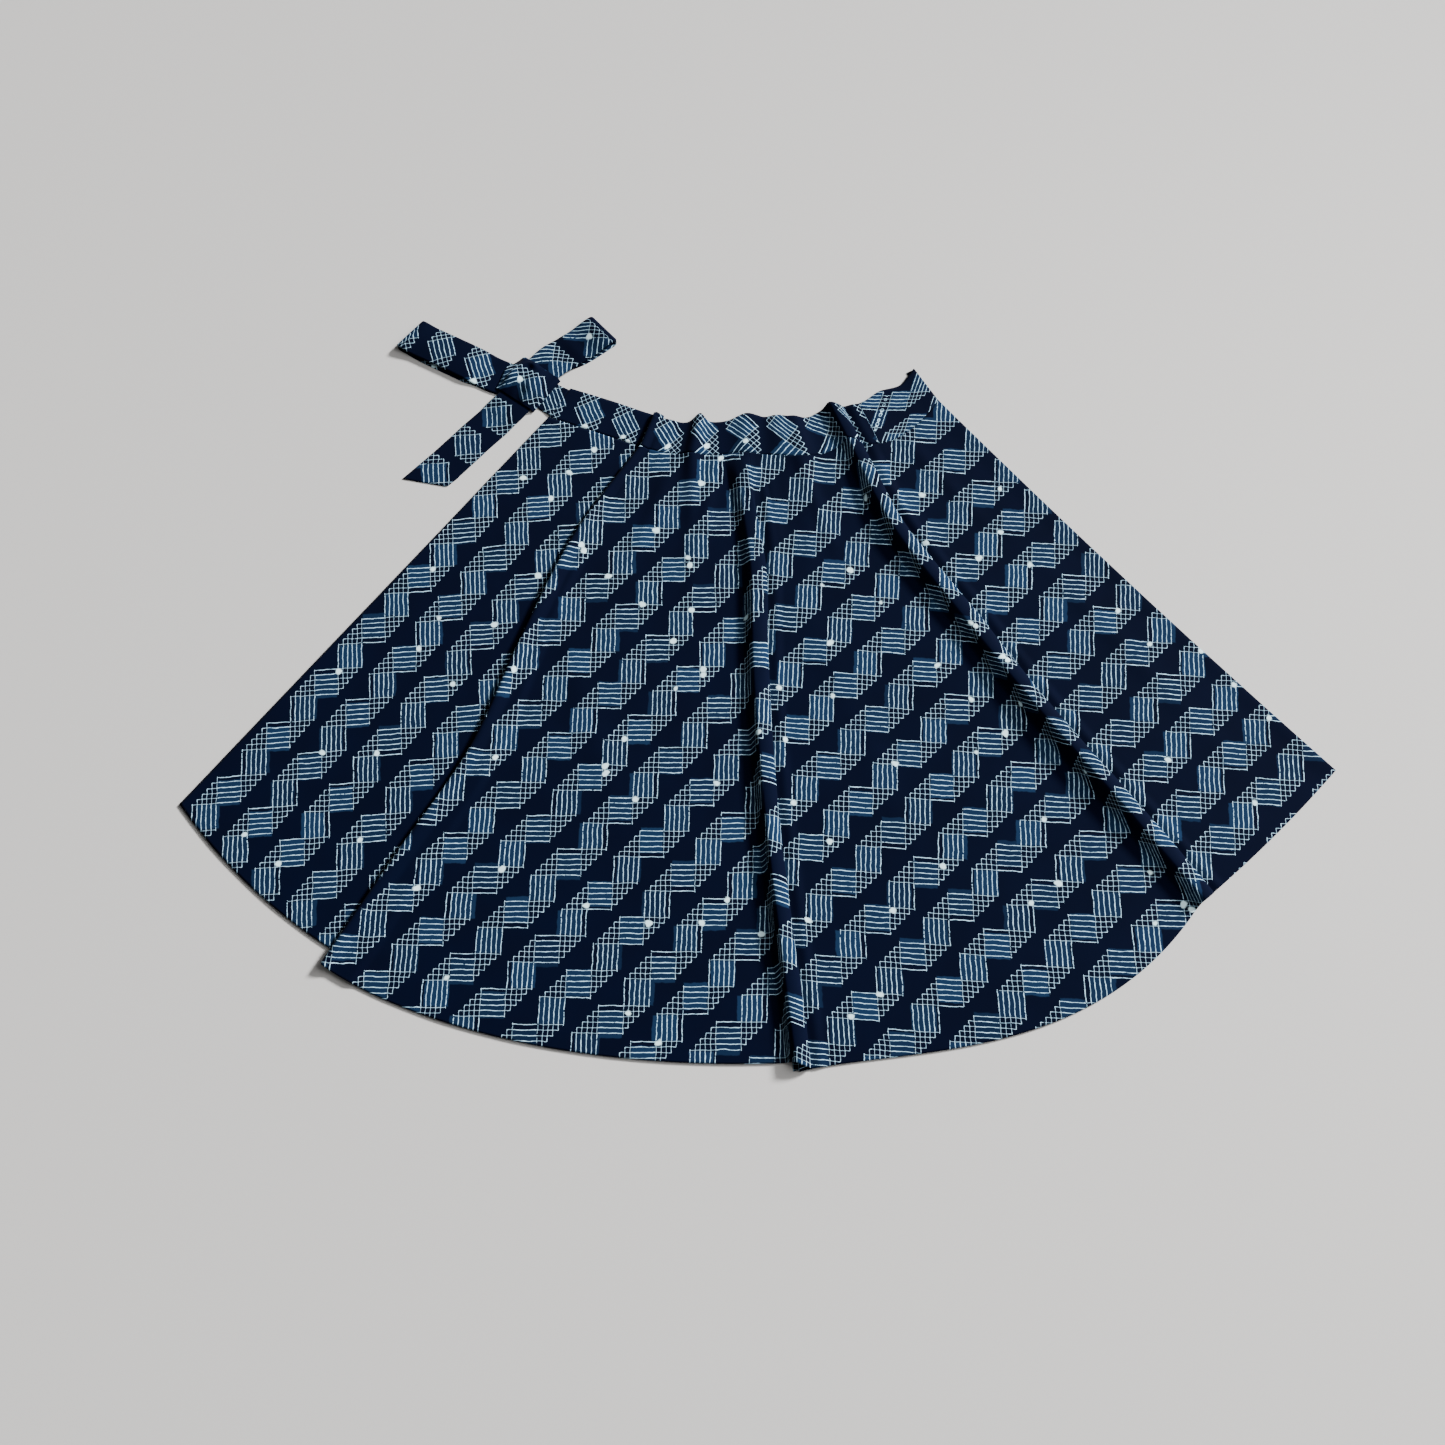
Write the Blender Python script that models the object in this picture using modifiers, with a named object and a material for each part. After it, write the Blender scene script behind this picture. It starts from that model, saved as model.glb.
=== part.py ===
"""Wrap skirt tied with a bow at its left side and laid flat on a surface.

The front panel lies on the back panel and carries three long folds that open towards the hem.
Metres: +X to the right, +Y towards the waist, +Z up, origin under the middle of the laid-out skirt.
"""

import math

import bmesh
import bpy
from mathutils import Vector

# Cloth
CLOTH = 0.0012            # thickness of a cloth wall
GAP = 0.0003              # clearance between two pieces
SEAM = 0.00045            # clearance along the waist seam, where the cloth tilts
PITCH = CLOTH + 0.0006    # rise from one folded layer to the next, middle to middle
Z_BACK = CLOTH / 2
Z_FRONT = CLOTH * 1.5 + GAP

# Outline of the laid-out panels, waist end and hem end of each straight side
LEFT_WAIST, LEFT_HEM = (-0.317, 0.400), (-0.805, -0.214)
RIGHT_WAIST, RIGHT_HEM = (0.278, 0.430), (0.805, -0.165)
RIGHT_HOLLOW = 0.006      # how far the right side curves in between its ends
PANEL_LENGTH = 0.9        # about, from the waist seam to the hem
PANEL_ROWS = 18
PANEL_COLUMNS = 8
BACK_COLUMNS = 5
BACK_INSET = 0.005        # how far the back panel stays inside the front one

# Panels between the sides and the folds, left to right.
# hem_bow: how far the hem bows out from its chord; hem_lean: over 1, the bow is fullest towards the right.
# waist_sag: how far the waist seam dips below its chord; waist_lean: under 1, it dips most towards the left.
PANELS = (
    dict(hem_bow=0.014, hem_lean=1.0, waist_sag=0.000, waist_lean=1.0),
    dict(hem_bow=0.046, hem_lean=0.87, waist_sag=0.007, waist_lean=0.8),
    dict(hem_bow=0.068, hem_lean=1.357, waist_sag=0.019, waist_lean=1.6),
    dict(hem_bow=0.005, hem_lean=1.0, waist_sag=0.030, waist_lean=0.80),
)

# Folds, left to right. Each row gives the value at six stations from the waist seam to the hem.
# crest_x, crest_y: the line where the fold starts; hidden: width of cloth tucked under it;
# slip: how far the layers slide along it; open: 0 flat, 1 fully folded.
# The first fold leans left, with a rounded edge of radius roll on its crest. The others are ridges that
# lean right: width runs from the crest to the right edge, and height is that of the ridge.
FOLDS = (
    dict(
        crest_x=(-0.177, -0.271, -0.342, -0.406, -0.497, -0.588),
        crest_y=(0.347, 0.199, 0.035, -0.132, -0.284, -0.437),
        hidden=(0.015, 0.020, 0.026, 0.031, 0.036, 0.040),
        roll=(0.0035, 0.0045, 0.0050, 0.0045, 0.0050, 0.0040),
        slip=(0.002, 0.004, 0.008, 0.013, 0.018, 0.023),
        open=(1.0, 1.0, 1.0, 1.0, 1.0, 1.0),
    ),
    dict(
        crest_x=(-0.0400, -0.0167, -0.0120, 0.0010, 0.0200, 0.0410),
        crest_y=(0.336, 0.161, -0.026, -0.213, -0.399, -0.580),
        width=(0.020, 0.028, 0.026, 0.024, 0.024, 0.024),
        height=(0.004, 0.013, 0.016, 0.017, 0.017, 0.015),
        hidden=(0.006, 0.012, 0.014, 0.014, 0.014, 0.014),
        slip=(0.000, 0.002, 0.004, 0.007, 0.010, 0.014),
        open=(0.0, 1.0, 1.0, 1.0, 1.0, 1.0),
    ),
    dict(
        crest_x=(0.134, 0.192, 0.289, 0.388, 0.494, 0.594),
        crest_y=(0.357, 0.208, 0.061, -0.084, -0.224, -0.356),
        width=(0.020, 0.028, 0.029, 0.029, 0.029, 0.026),
        height=(0.012, 0.018, 0.018, 0.021, 0.020, 0.016),
        hidden=(0.008, 0.010, 0.010, 0.010, 0.010, 0.010),
        slip=(0.000, 0.000, 0.000, 0.000, 0.000, 0.000),
        open=(1.0, 1.0, 1.0, 1.0, 1.0, 1.0),
    ),
)
ROLL_TAIL = 3.5           # a roll settles over this many radii
SETTLE = 0.014            # length over which the upper layer comes down past the tucked cloth
TUCK_MARGIN = 0.002
RIDGE_FOOT = 0.010        # how far left of its crest a ridge starts to rise
RIDGE_TOP = 0.25          # share of a ridge's width where it is highest
RIDGE_EDGE = 0.0025       # radius at which its right edge turns under
RIDGE_CLEAR = 0.006       # flat cloth right of a ridge, before the next panel's columns
FOLD_SWELL = 0.060        # how far a half-open fold stands up

# Gathers of the waistband: place along X, half width, height, lift of the top edge, reach down the panel
GATHERS = (
    dict(x=-0.148, half=0.012, height=0.003, lift=0.001, reach=0.05),
    dict(x=-0.098, half=0.013, height=0.009, lift=0.011, reach=0.10),
    dict(x=-0.016, half=0.020, height=0.006, lift=0.009, reach=0.04),
    dict(x=0.042, half=0.026, height=0.006, lift=0.007, reach=0.10),
    dict(x=0.074, half=0.016, height=0.005, lift=0.004, reach=0.10),
    dict(x=0.185, half=0.020, height=0.003, lift=0.002, reach=0.08),
)

PLACES = 7                # places along a row: one for each panel and one for each fold

# Side fold on the right, where the front panel turns under to meet the back panel
SIDE_ROLL = 0.0015
SIDE_UNDER = 0.012
SIDE_EASE = 0.030

# Waistband. Lean: sideways run per unit of height, at its left end, at each fold and at its right end.
# Rise: height of the band at fifteen even stations from left to right, where a panel or a fold is two steps.
BAND_ROWS = 4
BAND_LEAN = (0.62, 0.36, 0.0, -0.42, -0.62)
BAND_RISE = (
    0.060, 0.060, 0.059, 0.066, 0.057, 0.058, 0.057, 0.058,
    0.063, 0.065, 0.068, 0.068, 0.074, 0.083, 0.066,
)
BACK_BAND_RISE = 0.044    # the back stretch ends lower than the front one

# Tie and bow. Each centre line starts at the knot and runs out through its root to its end.
TIE_WIDTH = 0.058
TIE_PINCH = 0.050         # width of a tie where the knot grips it
KNOT = (-0.350, 0.457)
LOOP_LEFT_LINE = (KNOT, (-0.388, 0.467), (-0.539, 0.546))
LOOP_RIGHT_LINE = (KNOT, (-0.3185, 0.4965), (-0.2340, 0.5530))
TAIL_LINE = (KNOT, (-0.367, 0.429), (-0.491, 0.296))
TAIL_CUT = ((-0.449, 0.297), (-0.465, 0.282), (-0.533, 0.295))   # bias cut of the free end
TAIL_SQUARE = 0.85        # share of the tail's length where its bias cut starts
TAIL_TOE = 0.25           # share of the tail's width at its rounded corner
LOOP_ROLL = 0.0045        # radius of a loop's folded end
LOOP_PUFF = 0.004         # how far a loop's upper layer stands up
PUFF_START, PUFF_LENGTH = 0.066, 0.030     # where along a loop it starts to stand up, and over what length
LOOP_SETTLE = 6.0         # a loop's folded end comes down over this many radii
LOOP_STEPS = 7
TURN_STEPS = 6
TIE_CORNER = 0.020        # length over which a tie's centre line rounds its corner
PINCH_LENGTH = 0.050      # length over which a tie opens to its full width
CLIMB_START, CLIMB_LENGTH = 0.056, 0.030   # where a tie leaves the one below it near the knot
TIE_COLUMNS = 5
GRIP_STRAP, GRIP_TAIL = 0.006, 0.002       # distance from the knot's centre to the ends that it hides
STRAP_ROWS = (0.0, 0.2, 0.45, 0.7, 1.0)
STRAP_EDGE = 0.06         # share of the waistband's height left free on each side of the strap

# Knot, a wrap across the ties
KNOT_HALF_LENGTH = 0.034
KNOT_HALF_WIDTH = 0.0358
KNOT_DOME = 0.007         # rise of the knot above what it wraps
KNOT_BULGE, KNOT_BULGE_REACH = 0.009, 0.020   # extra width of the knot on its upper left side
KNOT_SHOULDER, KNOT_DROP = 0.031, 0.004       # where the wrap turns down at its sides, and over what width
KNOT_RAMP, KNOT_RAMP_LENGTH = 0.020, 0.015    # where the wrap climbs from the tail onto the right loop
KNOT_STEPS = 10

INDIGO = (0.008, 0.022, 0.075)
DEEP_INDIGO = (0.005, 0.012, 0.045)


def clear_scene():
    for item in list(bpy.data.objects):
        bpy.data.objects.remove(item, do_unlink=True)


def make_collection(name):
    collection = bpy.data.collections.new(name)
    bpy.context.scene.collection.children.link(collection)
    return collection


def cotton(name, colour):
    material = bpy.data.materials.new(name)
    material.use_nodes = True
    shader = material.node_tree.nodes["Principled BSDF"]
    shader.inputs["Base Color"].default_value = (*colour, 1.0)
    shader.inputs["Roughness"].default_value = 0.85
    shader.inputs["Metallic"].default_value = 0.0
    return material


def ease(amount):
    """Smooth step from 0 to 1."""
    amount = min(max(amount, 0.0), 1.0)
    return amount * amount * (3 - 2 * amount)


def mix(first, second, amount):
    return first + (second - first) * amount


def at_station(values, along):
    """Value of a table row at a share of the length, on a smooth curve through its stations."""
    last = len(values) - 1
    place = min(max(along, 0.0), 1.0) * last
    low = min(int(place), last - 1)
    part = place - low
    before = values[max(low - 1, 0)]
    start, end = values[low], values[low + 1]
    after = values[min(low + 2, last)]
    rise_start = (end - before) / 2
    rise_end = (after - start) / 2
    square, cube = part ** 2, part ** 3
    return (
        (2 * cube - 3 * square + 1) * start
        + (cube - 2 * square + part) * rise_start
        + (3 * square - 2 * cube) * end
        + (cube - square) * rise_end
    )


def crest(fold, along):
    return Vector((at_station(fold["crest_x"], along), at_station(fold["crest_y"], along)))


def fold_axes(fold, along):
    """Unit vectors down a fold's crest and across it, to the right."""
    step = 0.02
    down = crest(fold, min(along + step, 1.0)) - crest(fold, max(along - step, 0.0))
    down.normalize()
    return down, Vector((-down.y, down.x))


def right_side(along):
    """Point on the right side fold, which curves in a little between the waist and the hem."""
    waist, hem = Vector(RIGHT_WAIST), Vector(RIGHT_HEM)
    inward = Vector((waist.y - hem.y, hem.x - waist.x)).normalized()
    return waist.lerp(hem, along) - inward * RIGHT_HOLLOW * 4 * along * (1 - along)


def panel_ends(index, along):
    """Where a row of a panel starts on the left and ends on the right, ends under the next fold left out."""
    if index == 0:
        start = Vector(LEFT_WAIST).lerp(Vector(LEFT_HEM), along)
    else:
        start = crest(FOLDS[index - 1], along)
    if index == len(FOLDS):
        return start, right_side(along)
    fold = FOLDS[index]
    down, _ = fold_axes(fold, along)
    return start, crest(fold, along) - down * at_station(fold["slip"], along)


def panel_plan(index, share, along):
    """Plan position on a panel: share runs from its left end to its right end, along from waist to hem."""
    start, end = panel_ends(index, along)
    panel = PANELS[index]
    chord = end - start
    outward = Vector((chord.y, -chord.x)).normalized()
    lean = share ** panel["hem_lean"]
    bow = 4 * lean * (1 - lean) * panel["hem_bow"] * along ** 1.3
    dip = share ** panel["waist_lean"]
    sag = 4 * dip * (1 - dip) * panel["waist_sag"] * (1 - along) ** 6
    return start + chord * share + outward * (bow + sag)


def gather_height(place, along):
    """Rise of the cloth over the gathers, fading down the panel."""
    total = 0.0
    for gather in GATHERS:
        spread = math.exp(-(((place.x - gather["x"]) / gather["half"]) ** 2))
        total += gather["height"] * spread * math.exp(-along * PANEL_LENGTH / gather["reach"])
    return total


def left_leaning(fold, along):
    """Section of a fold that leans left, as (distance right of the crest, height, layer) from left to right.

    The layer is 0 for the cloth that comes from the left, 1 for its return and 2 for the cloth that runs on.
    The section's start and end come with it.
    """
    roll = at_station(fold["roll"], along)
    hidden = max(at_station(fold["hidden"], along), roll + 0.004)
    points = [(0.25 * hidden, 0.0, 0.0), (hidden - PITCH, 0.0, 0.0)]
    turn = PITCH / 2
    for step in range(4):
        angle = math.radians(-90 + 60 * step)
        points.append((hidden + turn * math.cos(angle), turn + turn * math.sin(angle), step / 3))
    points.append((mix(hidden, roll, 0.5), PITCH, 1.0))
    for step in range(8):
        angle = math.radians(-90 - 180 * step / 7)
        centre = PITCH + roll
        points.append((roll + roll * math.cos(angle), centre + roll * math.sin(angle), 1 + step / 7))
    reach = max(hidden + TUCK_MARGIN, roll * (1 + ROLL_TAIL))
    for part in (0.22, 0.45, 0.72, 1.0):
        distance = mix(roll, reach, part)
        fall = ease((distance - roll) / (ROLL_TAIL * roll))
        points.append((distance, 2 * PITCH + (2 * roll - PITCH) * (1 - fall), 2.0))
    for part in (0.4, 0.7, 1.0):
        points.append((reach + SETTLE * part, 2 * PITCH * (1 - ease(part)), 2.0))
    return points, 0.0, reach + SETTLE


def right_leaning(fold, along):
    """Section of a standing ridge that leans right, in the same form.

    Its steep left face rises from the cloth on the left, and its right edge turns under to a tucked return.
    """
    width = at_station(fold["width"], along)
    height = at_station(fold["height"], along)
    tip = width - at_station(fold["hidden"], along)
    top = RIDGE_TOP * width
    points = []
    for part in (0.2, 0.4, 0.6, 0.8, 1.0):
        points.append((mix(-RIDGE_FOOT, top, part), height * ease(part), 0.0))
    edge = PITCH + RIDGE_EDGE
    for angle in (68, 46, 23, 0):
        run, rise = math.cos(math.radians(angle)), math.sin(math.radians(angle))
        points.append((top + (width - top) * run, edge + (height - edge) * rise, 0.0))
    for angle in (-45, -90):
        run, rise = math.cos(math.radians(angle)), math.sin(math.radians(angle))
        points.append((width - RIDGE_EDGE * (1 - run), edge + RIDGE_EDGE * rise, -angle / 90))
    points.append((mix(width - RIDGE_EDGE, tip, 0.5), PITCH, 1.2))
    turn = PITCH / 2
    for step in range(4):
        angle = math.radians(90 + 60 * step)
        points.append((tip + turn * math.cos(angle), turn + turn * math.sin(angle), 1.4 + 0.2 * step / 3))
    points.append((mix(tip, width, 0.5), 0.0, 1.8))
    for distance in (width, width + RIDGE_CLEAR):
        points.append((distance, 0.0, 2.0))
    return points, -RIDGE_FOOT, width + RIDGE_CLEAR


def fold_section(fold, along):
    """Section of a fold with its start and end, partly flattened where the fold isn't fully open."""
    make = left_leaning if "roll" in fold else right_leaning
    points, first, last = make(fold, along)
    opened = min(max(at_station(fold["open"], along), 0.0), 1.0)
    swell = FOLD_SWELL * opened * (1 - opened)
    section = []
    for order, (distance, height, layer) in enumerate(points):
        even = (order + 1) / len(points)
        section.append((
            mix(mix(first, last, even), distance, opened),
            mix(swell * math.sin(math.pi * even), height, opened),
            mix(2 * even, layer, opened),
        ))
    return section, first, last


def front_row(along):
    """One row of the front layer from left to right, as (plan, height, place) entries.

    The place counts 1 for each panel and 1 for each fold passed.
    """
    row = []
    start_share = 0.0
    for index in range(len(PANELS)):
        length = row_length(index, along)
        if index == len(FOLDS):
            end_share = 1.0 - SIDE_EASE / length
        else:
            section, first, last = fold_section(FOLDS[index], along)
            end_share = 1.0 + first / length
        for column in range(1 if index else 0, PANEL_COLUMNS):
            part = column / PANEL_COLUMNS
            share = mix(start_share, end_share, part)
            row.append((panel_plan(index, share, along), Z_FRONT, 2 * index + part))
        if index == len(FOLDS):
            row.extend(side_turn(along, end_share))
            break
        row.append((panel_plan(index, end_share, along), Z_FRONT, 2 * index + 1.0))
        for distance, height, layer in section:
            plan = fold_plan(index, distance, layer, along)
            row.append((plan, Z_FRONT + height, 2 * index + 1 + layer / 2))
        start_share = last / row_length(index + 1, along)
    return row


def fold_plan(index, distance, layer, along):
    """Plan position in a fold's section, which passes from the left panel's layout to the right one's."""
    if layer >= 2.0:
        return panel_plan(index + 1, distance / row_length(index + 1, along), along)
    if distance < 0.0:
        return panel_plan(index, 1.0 + distance / row_length(index, along), along)
    fold = FOLDS[index]
    down, across = fold_axes(fold, along)
    slide = at_station(fold["slip"], along)
    if "roll" in fold:
        below = 1 - layer / 2
        slide *= below * (1 - 0.5 * below * min(distance / at_station(fold["hidden"], along), 1.0))
        passed = ease(layer - 1.0)
    else:
        passed = 1.0 if layer > 0.0 else min(distance / at_station(fold["width"], along), 1.0)
    under = crest(fold, along) + across * distance - down * slide
    over = panel_plan(index + 1, distance / row_length(index + 1, along), along)
    return under.lerp(over, passed)


def row_length(index, along):
    start, end = panel_ends(index, along)
    return (end - start).length


def side_turn(along, start_share):
    """Right side fold: the front rises a little, turns over and runs back under itself."""
    index = len(FOLDS)
    length = row_length(index, along)
    top = Z_BACK + 2 * SIDE_ROLL
    entries = []
    edge_share = 1.0 - SIDE_ROLL / length
    for part in (0.0, 0.5, 1.0):
        share = mix(start_share, edge_share, part)
        entries.append((panel_plan(index, share, along), mix(Z_FRONT, top, ease(part)), 2 * index + 1.0))
    start, end = panel_ends(index, along)
    outward = (end - start).normalized()
    centre = panel_plan(index, edge_share, along)
    for step in range(1, 5):
        angle = math.radians(90 - 45 * step)
        plan = centre + outward * SIDE_ROLL * math.cos(angle)
        height = Z_BACK + SIDE_ROLL + SIDE_ROLL * math.sin(angle)
        entries.append((plan, height, 2 * index + 1.0))
    entries.append((centre - outward * SIDE_UNDER, Z_BACK, 2 * index + 1.0))
    return entries


def lift(plan, height, along=1.0):
    return Vector((plan.x, plan.y, height + gather_height(plan, along)))


def cloth_sheet(name, rows, material, collection, thickness=CLOTH):
    """A grid of points as an open surface with an even wall."""
    mesh = bpy.data.meshes.new(name)
    grid = bmesh.new()
    corners = [[grid.verts.new(point) for point in row] for row in rows]
    for upper, lower in zip(corners, corners[1:]):
        for left in range(len(upper) - 1):
            grid.faces.new((upper[left], lower[left], lower[left + 1], upper[left + 1]))
    grid.normal_update()
    grid.to_mesh(mesh)
    grid.free()
    mesh.shade_smooth()
    piece = bpy.data.objects.new(name, mesh)
    collection.objects.link(piece)
    piece.data.materials.append(material)
    wall = piece.modifiers.new("wall", "SOLIDIFY")
    wall.thickness = thickness
    wall.offset = 0.0
    return piece


def make_front_panel(material, collection):
    rows = []
    for step in range(PANEL_ROWS + 1):
        along = step / PANEL_ROWS
        rows.append([lift(plan, height, along) for plan, height, _ in front_row(along)])
    return cloth_sheet("front_panel", rows, material, collection)


def make_back_panel(material, collection):
    rows = []
    row_count = PANEL_ROWS // 2
    for step in range(row_count + 1):
        along = step / row_count * (1 - BACK_INSET / PANEL_LENGTH)
        row = []
        for index in range(len(PANELS)):
            length = row_length(index, along)
            first = BACK_INSET / length if index == 0 else 0.0
            last = 1.0 - (SIDE_ROLL + SIDE_UNDER + GAP) / length if index == len(FOLDS) else 1.0
            for column in range(BACK_COLUMNS + 1):
                if index and column == 0:
                    continue
                share = mix(first, last, column / BACK_COLUMNS)
                row.append(lift_flat(panel_plan(index, share, along)))
        rows.append(row)
    return cloth_sheet("back_panel", rows, material, collection)


def lift_flat(plan):
    return Vector((plan.x, plan.y, Z_BACK))


def band_up(place):
    """Direction up the waistband at a place along it, even over the width of a fold."""
    panel = min(int(place / 2), len(FOLDS))
    lean = mix(BAND_LEAN[panel], BAND_LEAN[panel + 1], min(place - 2 * panel, 1.0))
    return Vector((lean, 1.0)).normalized()


def band_row(share):
    """One row of the waistband's front stretch, share running from the waist seam to the top edge."""
    row = []
    for plan, height, place in front_row(0.0):
        rise = at_station(BAND_RISE, place / PLACES)
        for gather in GATHERS:
            rise += gather["lift"] * math.exp(-(((plan.x - gather["x"]) / gather["half"]) ** 2))
        moved = plan + band_up(place) * mix(SEAM, rise, share)
        row.append(Vector((moved.x, moved.y, height + gather_height(plan, 0.0))))
    return row


def make_waistband_front(material, collection):
    rows = [band_row(1 - step / BAND_ROWS) for step in range(BAND_ROWS + 1)]
    return cloth_sheet("waistband_front", rows, material, collection)


def make_waistband_back(material, collection):
    waist = []
    for index in range(len(PANELS)):
        length = row_length(index, 0.0)
        first = BACK_INSET / length if index == 0 else 0.0
        last = 1.0 - (SIDE_ROLL + SIDE_UNDER + GAP) / length if index == len(FOLDS) else 1.0
        for column in range(BACK_COLUMNS + 1):
            if index and column == 0:
                continue
            share = mix(first, last, column / BACK_COLUMNS)
            waist.append((panel_plan(index, share, 0.0), 2 * index + column / BACK_COLUMNS))
    rows = []
    for share in (1.0, 0.5, 0.0):
        rows.append([
            lift_flat(plan + band_up(place) * mix(GAP, BACK_BAND_RISE, share))
            for plan, place in waist
        ])
    return cloth_sheet("waistband_back", rows, material, collection)


def line_place(line, share):
    """Point and unit direction on the centre line of a tie, its corner rounded over TIE_CORNER."""
    stops = [Vector(stop) for stop in line]
    first_length = (stops[1] - stops[0]).length
    first = (stops[1] - stops[0]).normalized()
    second = (stops[2] - stops[1]).normalized()

    def on_line(distance):
        if distance < first_length:
            return stops[0] + first * distance
        return stops[1] + second * (distance - first_length)

    distance = share * line_length(line)
    around = [on_line(distance + step * TIE_CORNER / 3) for step in range(-3, 4)]
    return sum(around, Vector((0, 0))) / len(around), (around[-1] - around[0]).normalized()


def line_length(line):
    stops = [Vector(stop) for stop in line]
    return sum((after - before).length for before, after in zip(stops, stops[1:]))


def tie_row(line, share, height):
    """A row of points across a tie, left to right when looking out from the knot."""
    centre, direction = line_place(line, share)
    across = Vector((direction.y, -direction.x))
    grip = ease(share * line_length(line) / PINCH_LENGTH)
    half = mix(TIE_PINCH, TIE_WIDTH, grip) / 2
    row = []
    for column in range(TIE_COLUMNS):
        side = 2 * column / (TIE_COLUMNS - 1) - 1
        plan = centre + across * side * half
        row.append(Vector((plan.x, plan.y, height)))
    return row


def rise_over(distance, rise):
    """Height that a tie gains where it climbs over the other one near the knot."""
    return rise * (1 - ease((distance - CLIMB_START) / CLIMB_LENGTH))


def make_loop(name, line, grip, rise, material, collection):
    """Two layers of a tie joined at a rolled end, both running into the knot."""
    length = line_length(line)
    roll = LOOP_ROLL
    rows = []
    for step in range(LOOP_STEPS):
        share = mix(grip / length, 1 - 2.5 * roll / length, step / (LOOP_STEPS - 1))
        height = Z_BACK + rise_over(share * length, rise)
        rows.append(tie_row(line, share, height))
    for step in range(TURN_STEPS + 1):
        angle = math.pi * (step / TURN_STEPS - 0.5)
        share = 1 - (roll - roll * math.cos(angle)) / length
        rows.append(tie_row(line, share, Z_BACK + roll + roll * math.sin(angle)))
    for step in range(LOOP_STEPS):
        part = (step + 1) / LOOP_STEPS
        share = mix(1 - roll / length, grip / length, part)
        settled = ease(((1 - share) * length - roll) / (LOOP_SETTLE * roll))
        height = Z_BACK + PITCH + rise_over(share * length, rise)
        height += (2 * roll - PITCH) * (1 - settled)
        height += LOOP_PUFF * ease((share * length - PUFF_START) / PUFF_LENGTH) * settled
        rows.append(tie_row(line, share, height))
    return cloth_sheet(name, rows, material, collection)


def make_tail(rise, material, collection):
    length = line_length(TAIL_LINE)
    rows = []
    for step in range(LOOP_STEPS):
        share = mix(GRIP_TAIL / length, TAIL_SQUARE, step / (LOOP_STEPS - 1))
        rows.append(tie_row(TAIL_LINE, share, Z_BACK + rise_over(share * length, rise)))
    heel, toe, point = (Vector(corner) for corner in TAIL_CUT)
    cut = []
    for column in range(TIE_COLUMNS):
        part = column / (TIE_COLUMNS - 1)
        if part < TAIL_TOE:
            plan = heel.lerp(toe, part / TAIL_TOE)
        else:
            plan = toe.lerp(point, (part - TAIL_TOE) / (1 - TAIL_TOE))
        cut.append(Vector((plan.x, plan.y, Z_BACK)))
    rows.append(cut)
    return cloth_sheet("tie_tail", rows, material, collection)


def make_strap(material, collection):
    """Stretch of the tie from the left end of the waistband down to the knot."""
    lower, upper = band_row(STRAP_EDGE)[0], band_row(1 - STRAP_EDGE)[0]
    into = (band_row(0.5)[1] - band_row(0.5)[0]).normalized()
    knot = Vector((*KNOT, Z_BACK))
    middle = (lower + upper) / 2
    away = Vector((middle.x - knot.x, middle.y - knot.y, 0)).normalized()
    across = Vector((-away.y, away.x, 0))
    inner_lower = knot + away * GRIP_STRAP - across * TIE_PINCH / 2
    inner_upper = knot + away * GRIP_STRAP + across * TIE_PINCH / 2
    rows = []
    for part in STRAP_ROWS:
        start = inner_lower.lerp(lower - into * GAP, part)
        end = inner_upper.lerp(upper - into * GAP, part)
        height = mix(Z_BACK, Z_FRONT, ease((part - STRAP_ROWS[-2]) / (1 - STRAP_ROWS[-2])))
        row = []
        for column in range(TIE_COLUMNS):
            point = start.lerp(end, column / (TIE_COLUMNS - 1))
            row.append(Vector((point.x, point.y, height)))
        rows.append(row[::-1])
    return cloth_sheet("tie_strap", rows, material, collection)


def make_knot(tail_top, loop_top, left_top, right_top, material, collection):
    """The wrap of the knot: a dome that comes down on both sides of the ties that it grips."""
    centre = Vector(KNOT)
    axis = (Vector(LOOP_RIGHT_LINE[1]) - Vector(TAIL_LINE[1])).normalized()
    across = Vector((axis.y, -axis.x))
    clear = GAP + CLOTH / 2
    rows = []
    for step in range(KNOT_STEPS + 1):
        part = 2 * step / KNOT_STEPS - 1
        distance = part * KNOT_HALF_LENGTH
        ridge = mix(tail_top, loop_top, ease((distance + KNOT_RAMP) / KNOT_RAMP_LENGTH)) + clear
        row = []
        for column in range(KNOT_STEPS + 1):
            side = 2 * column / KNOT_STEPS - 1
            side = math.copysign(abs(side) ** 0.7, side)
            half = KNOT_HALF_WIDTH
            if side < 0:
                half += KNOT_BULGE * math.exp(-((distance / KNOT_BULGE_REACH) ** 2))
            plan = centre + axis * distance + across * side * half
            inside = 1 - ease((abs(side) * half - KNOT_SHOULDER) / KNOT_DROP)
            dome = KNOT_DOME * (1 - part ** 2) * (1 - abs(side) ** 3)
            foot = (left_top if side < 0 else right_top) + clear
            height = mix(foot, ridge, inside) + dome
            row.append(Vector((plan.x, plan.y, height)))
        rows.append(row)
    return cloth_sheet("bow_knot", rows, material, collection)


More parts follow.
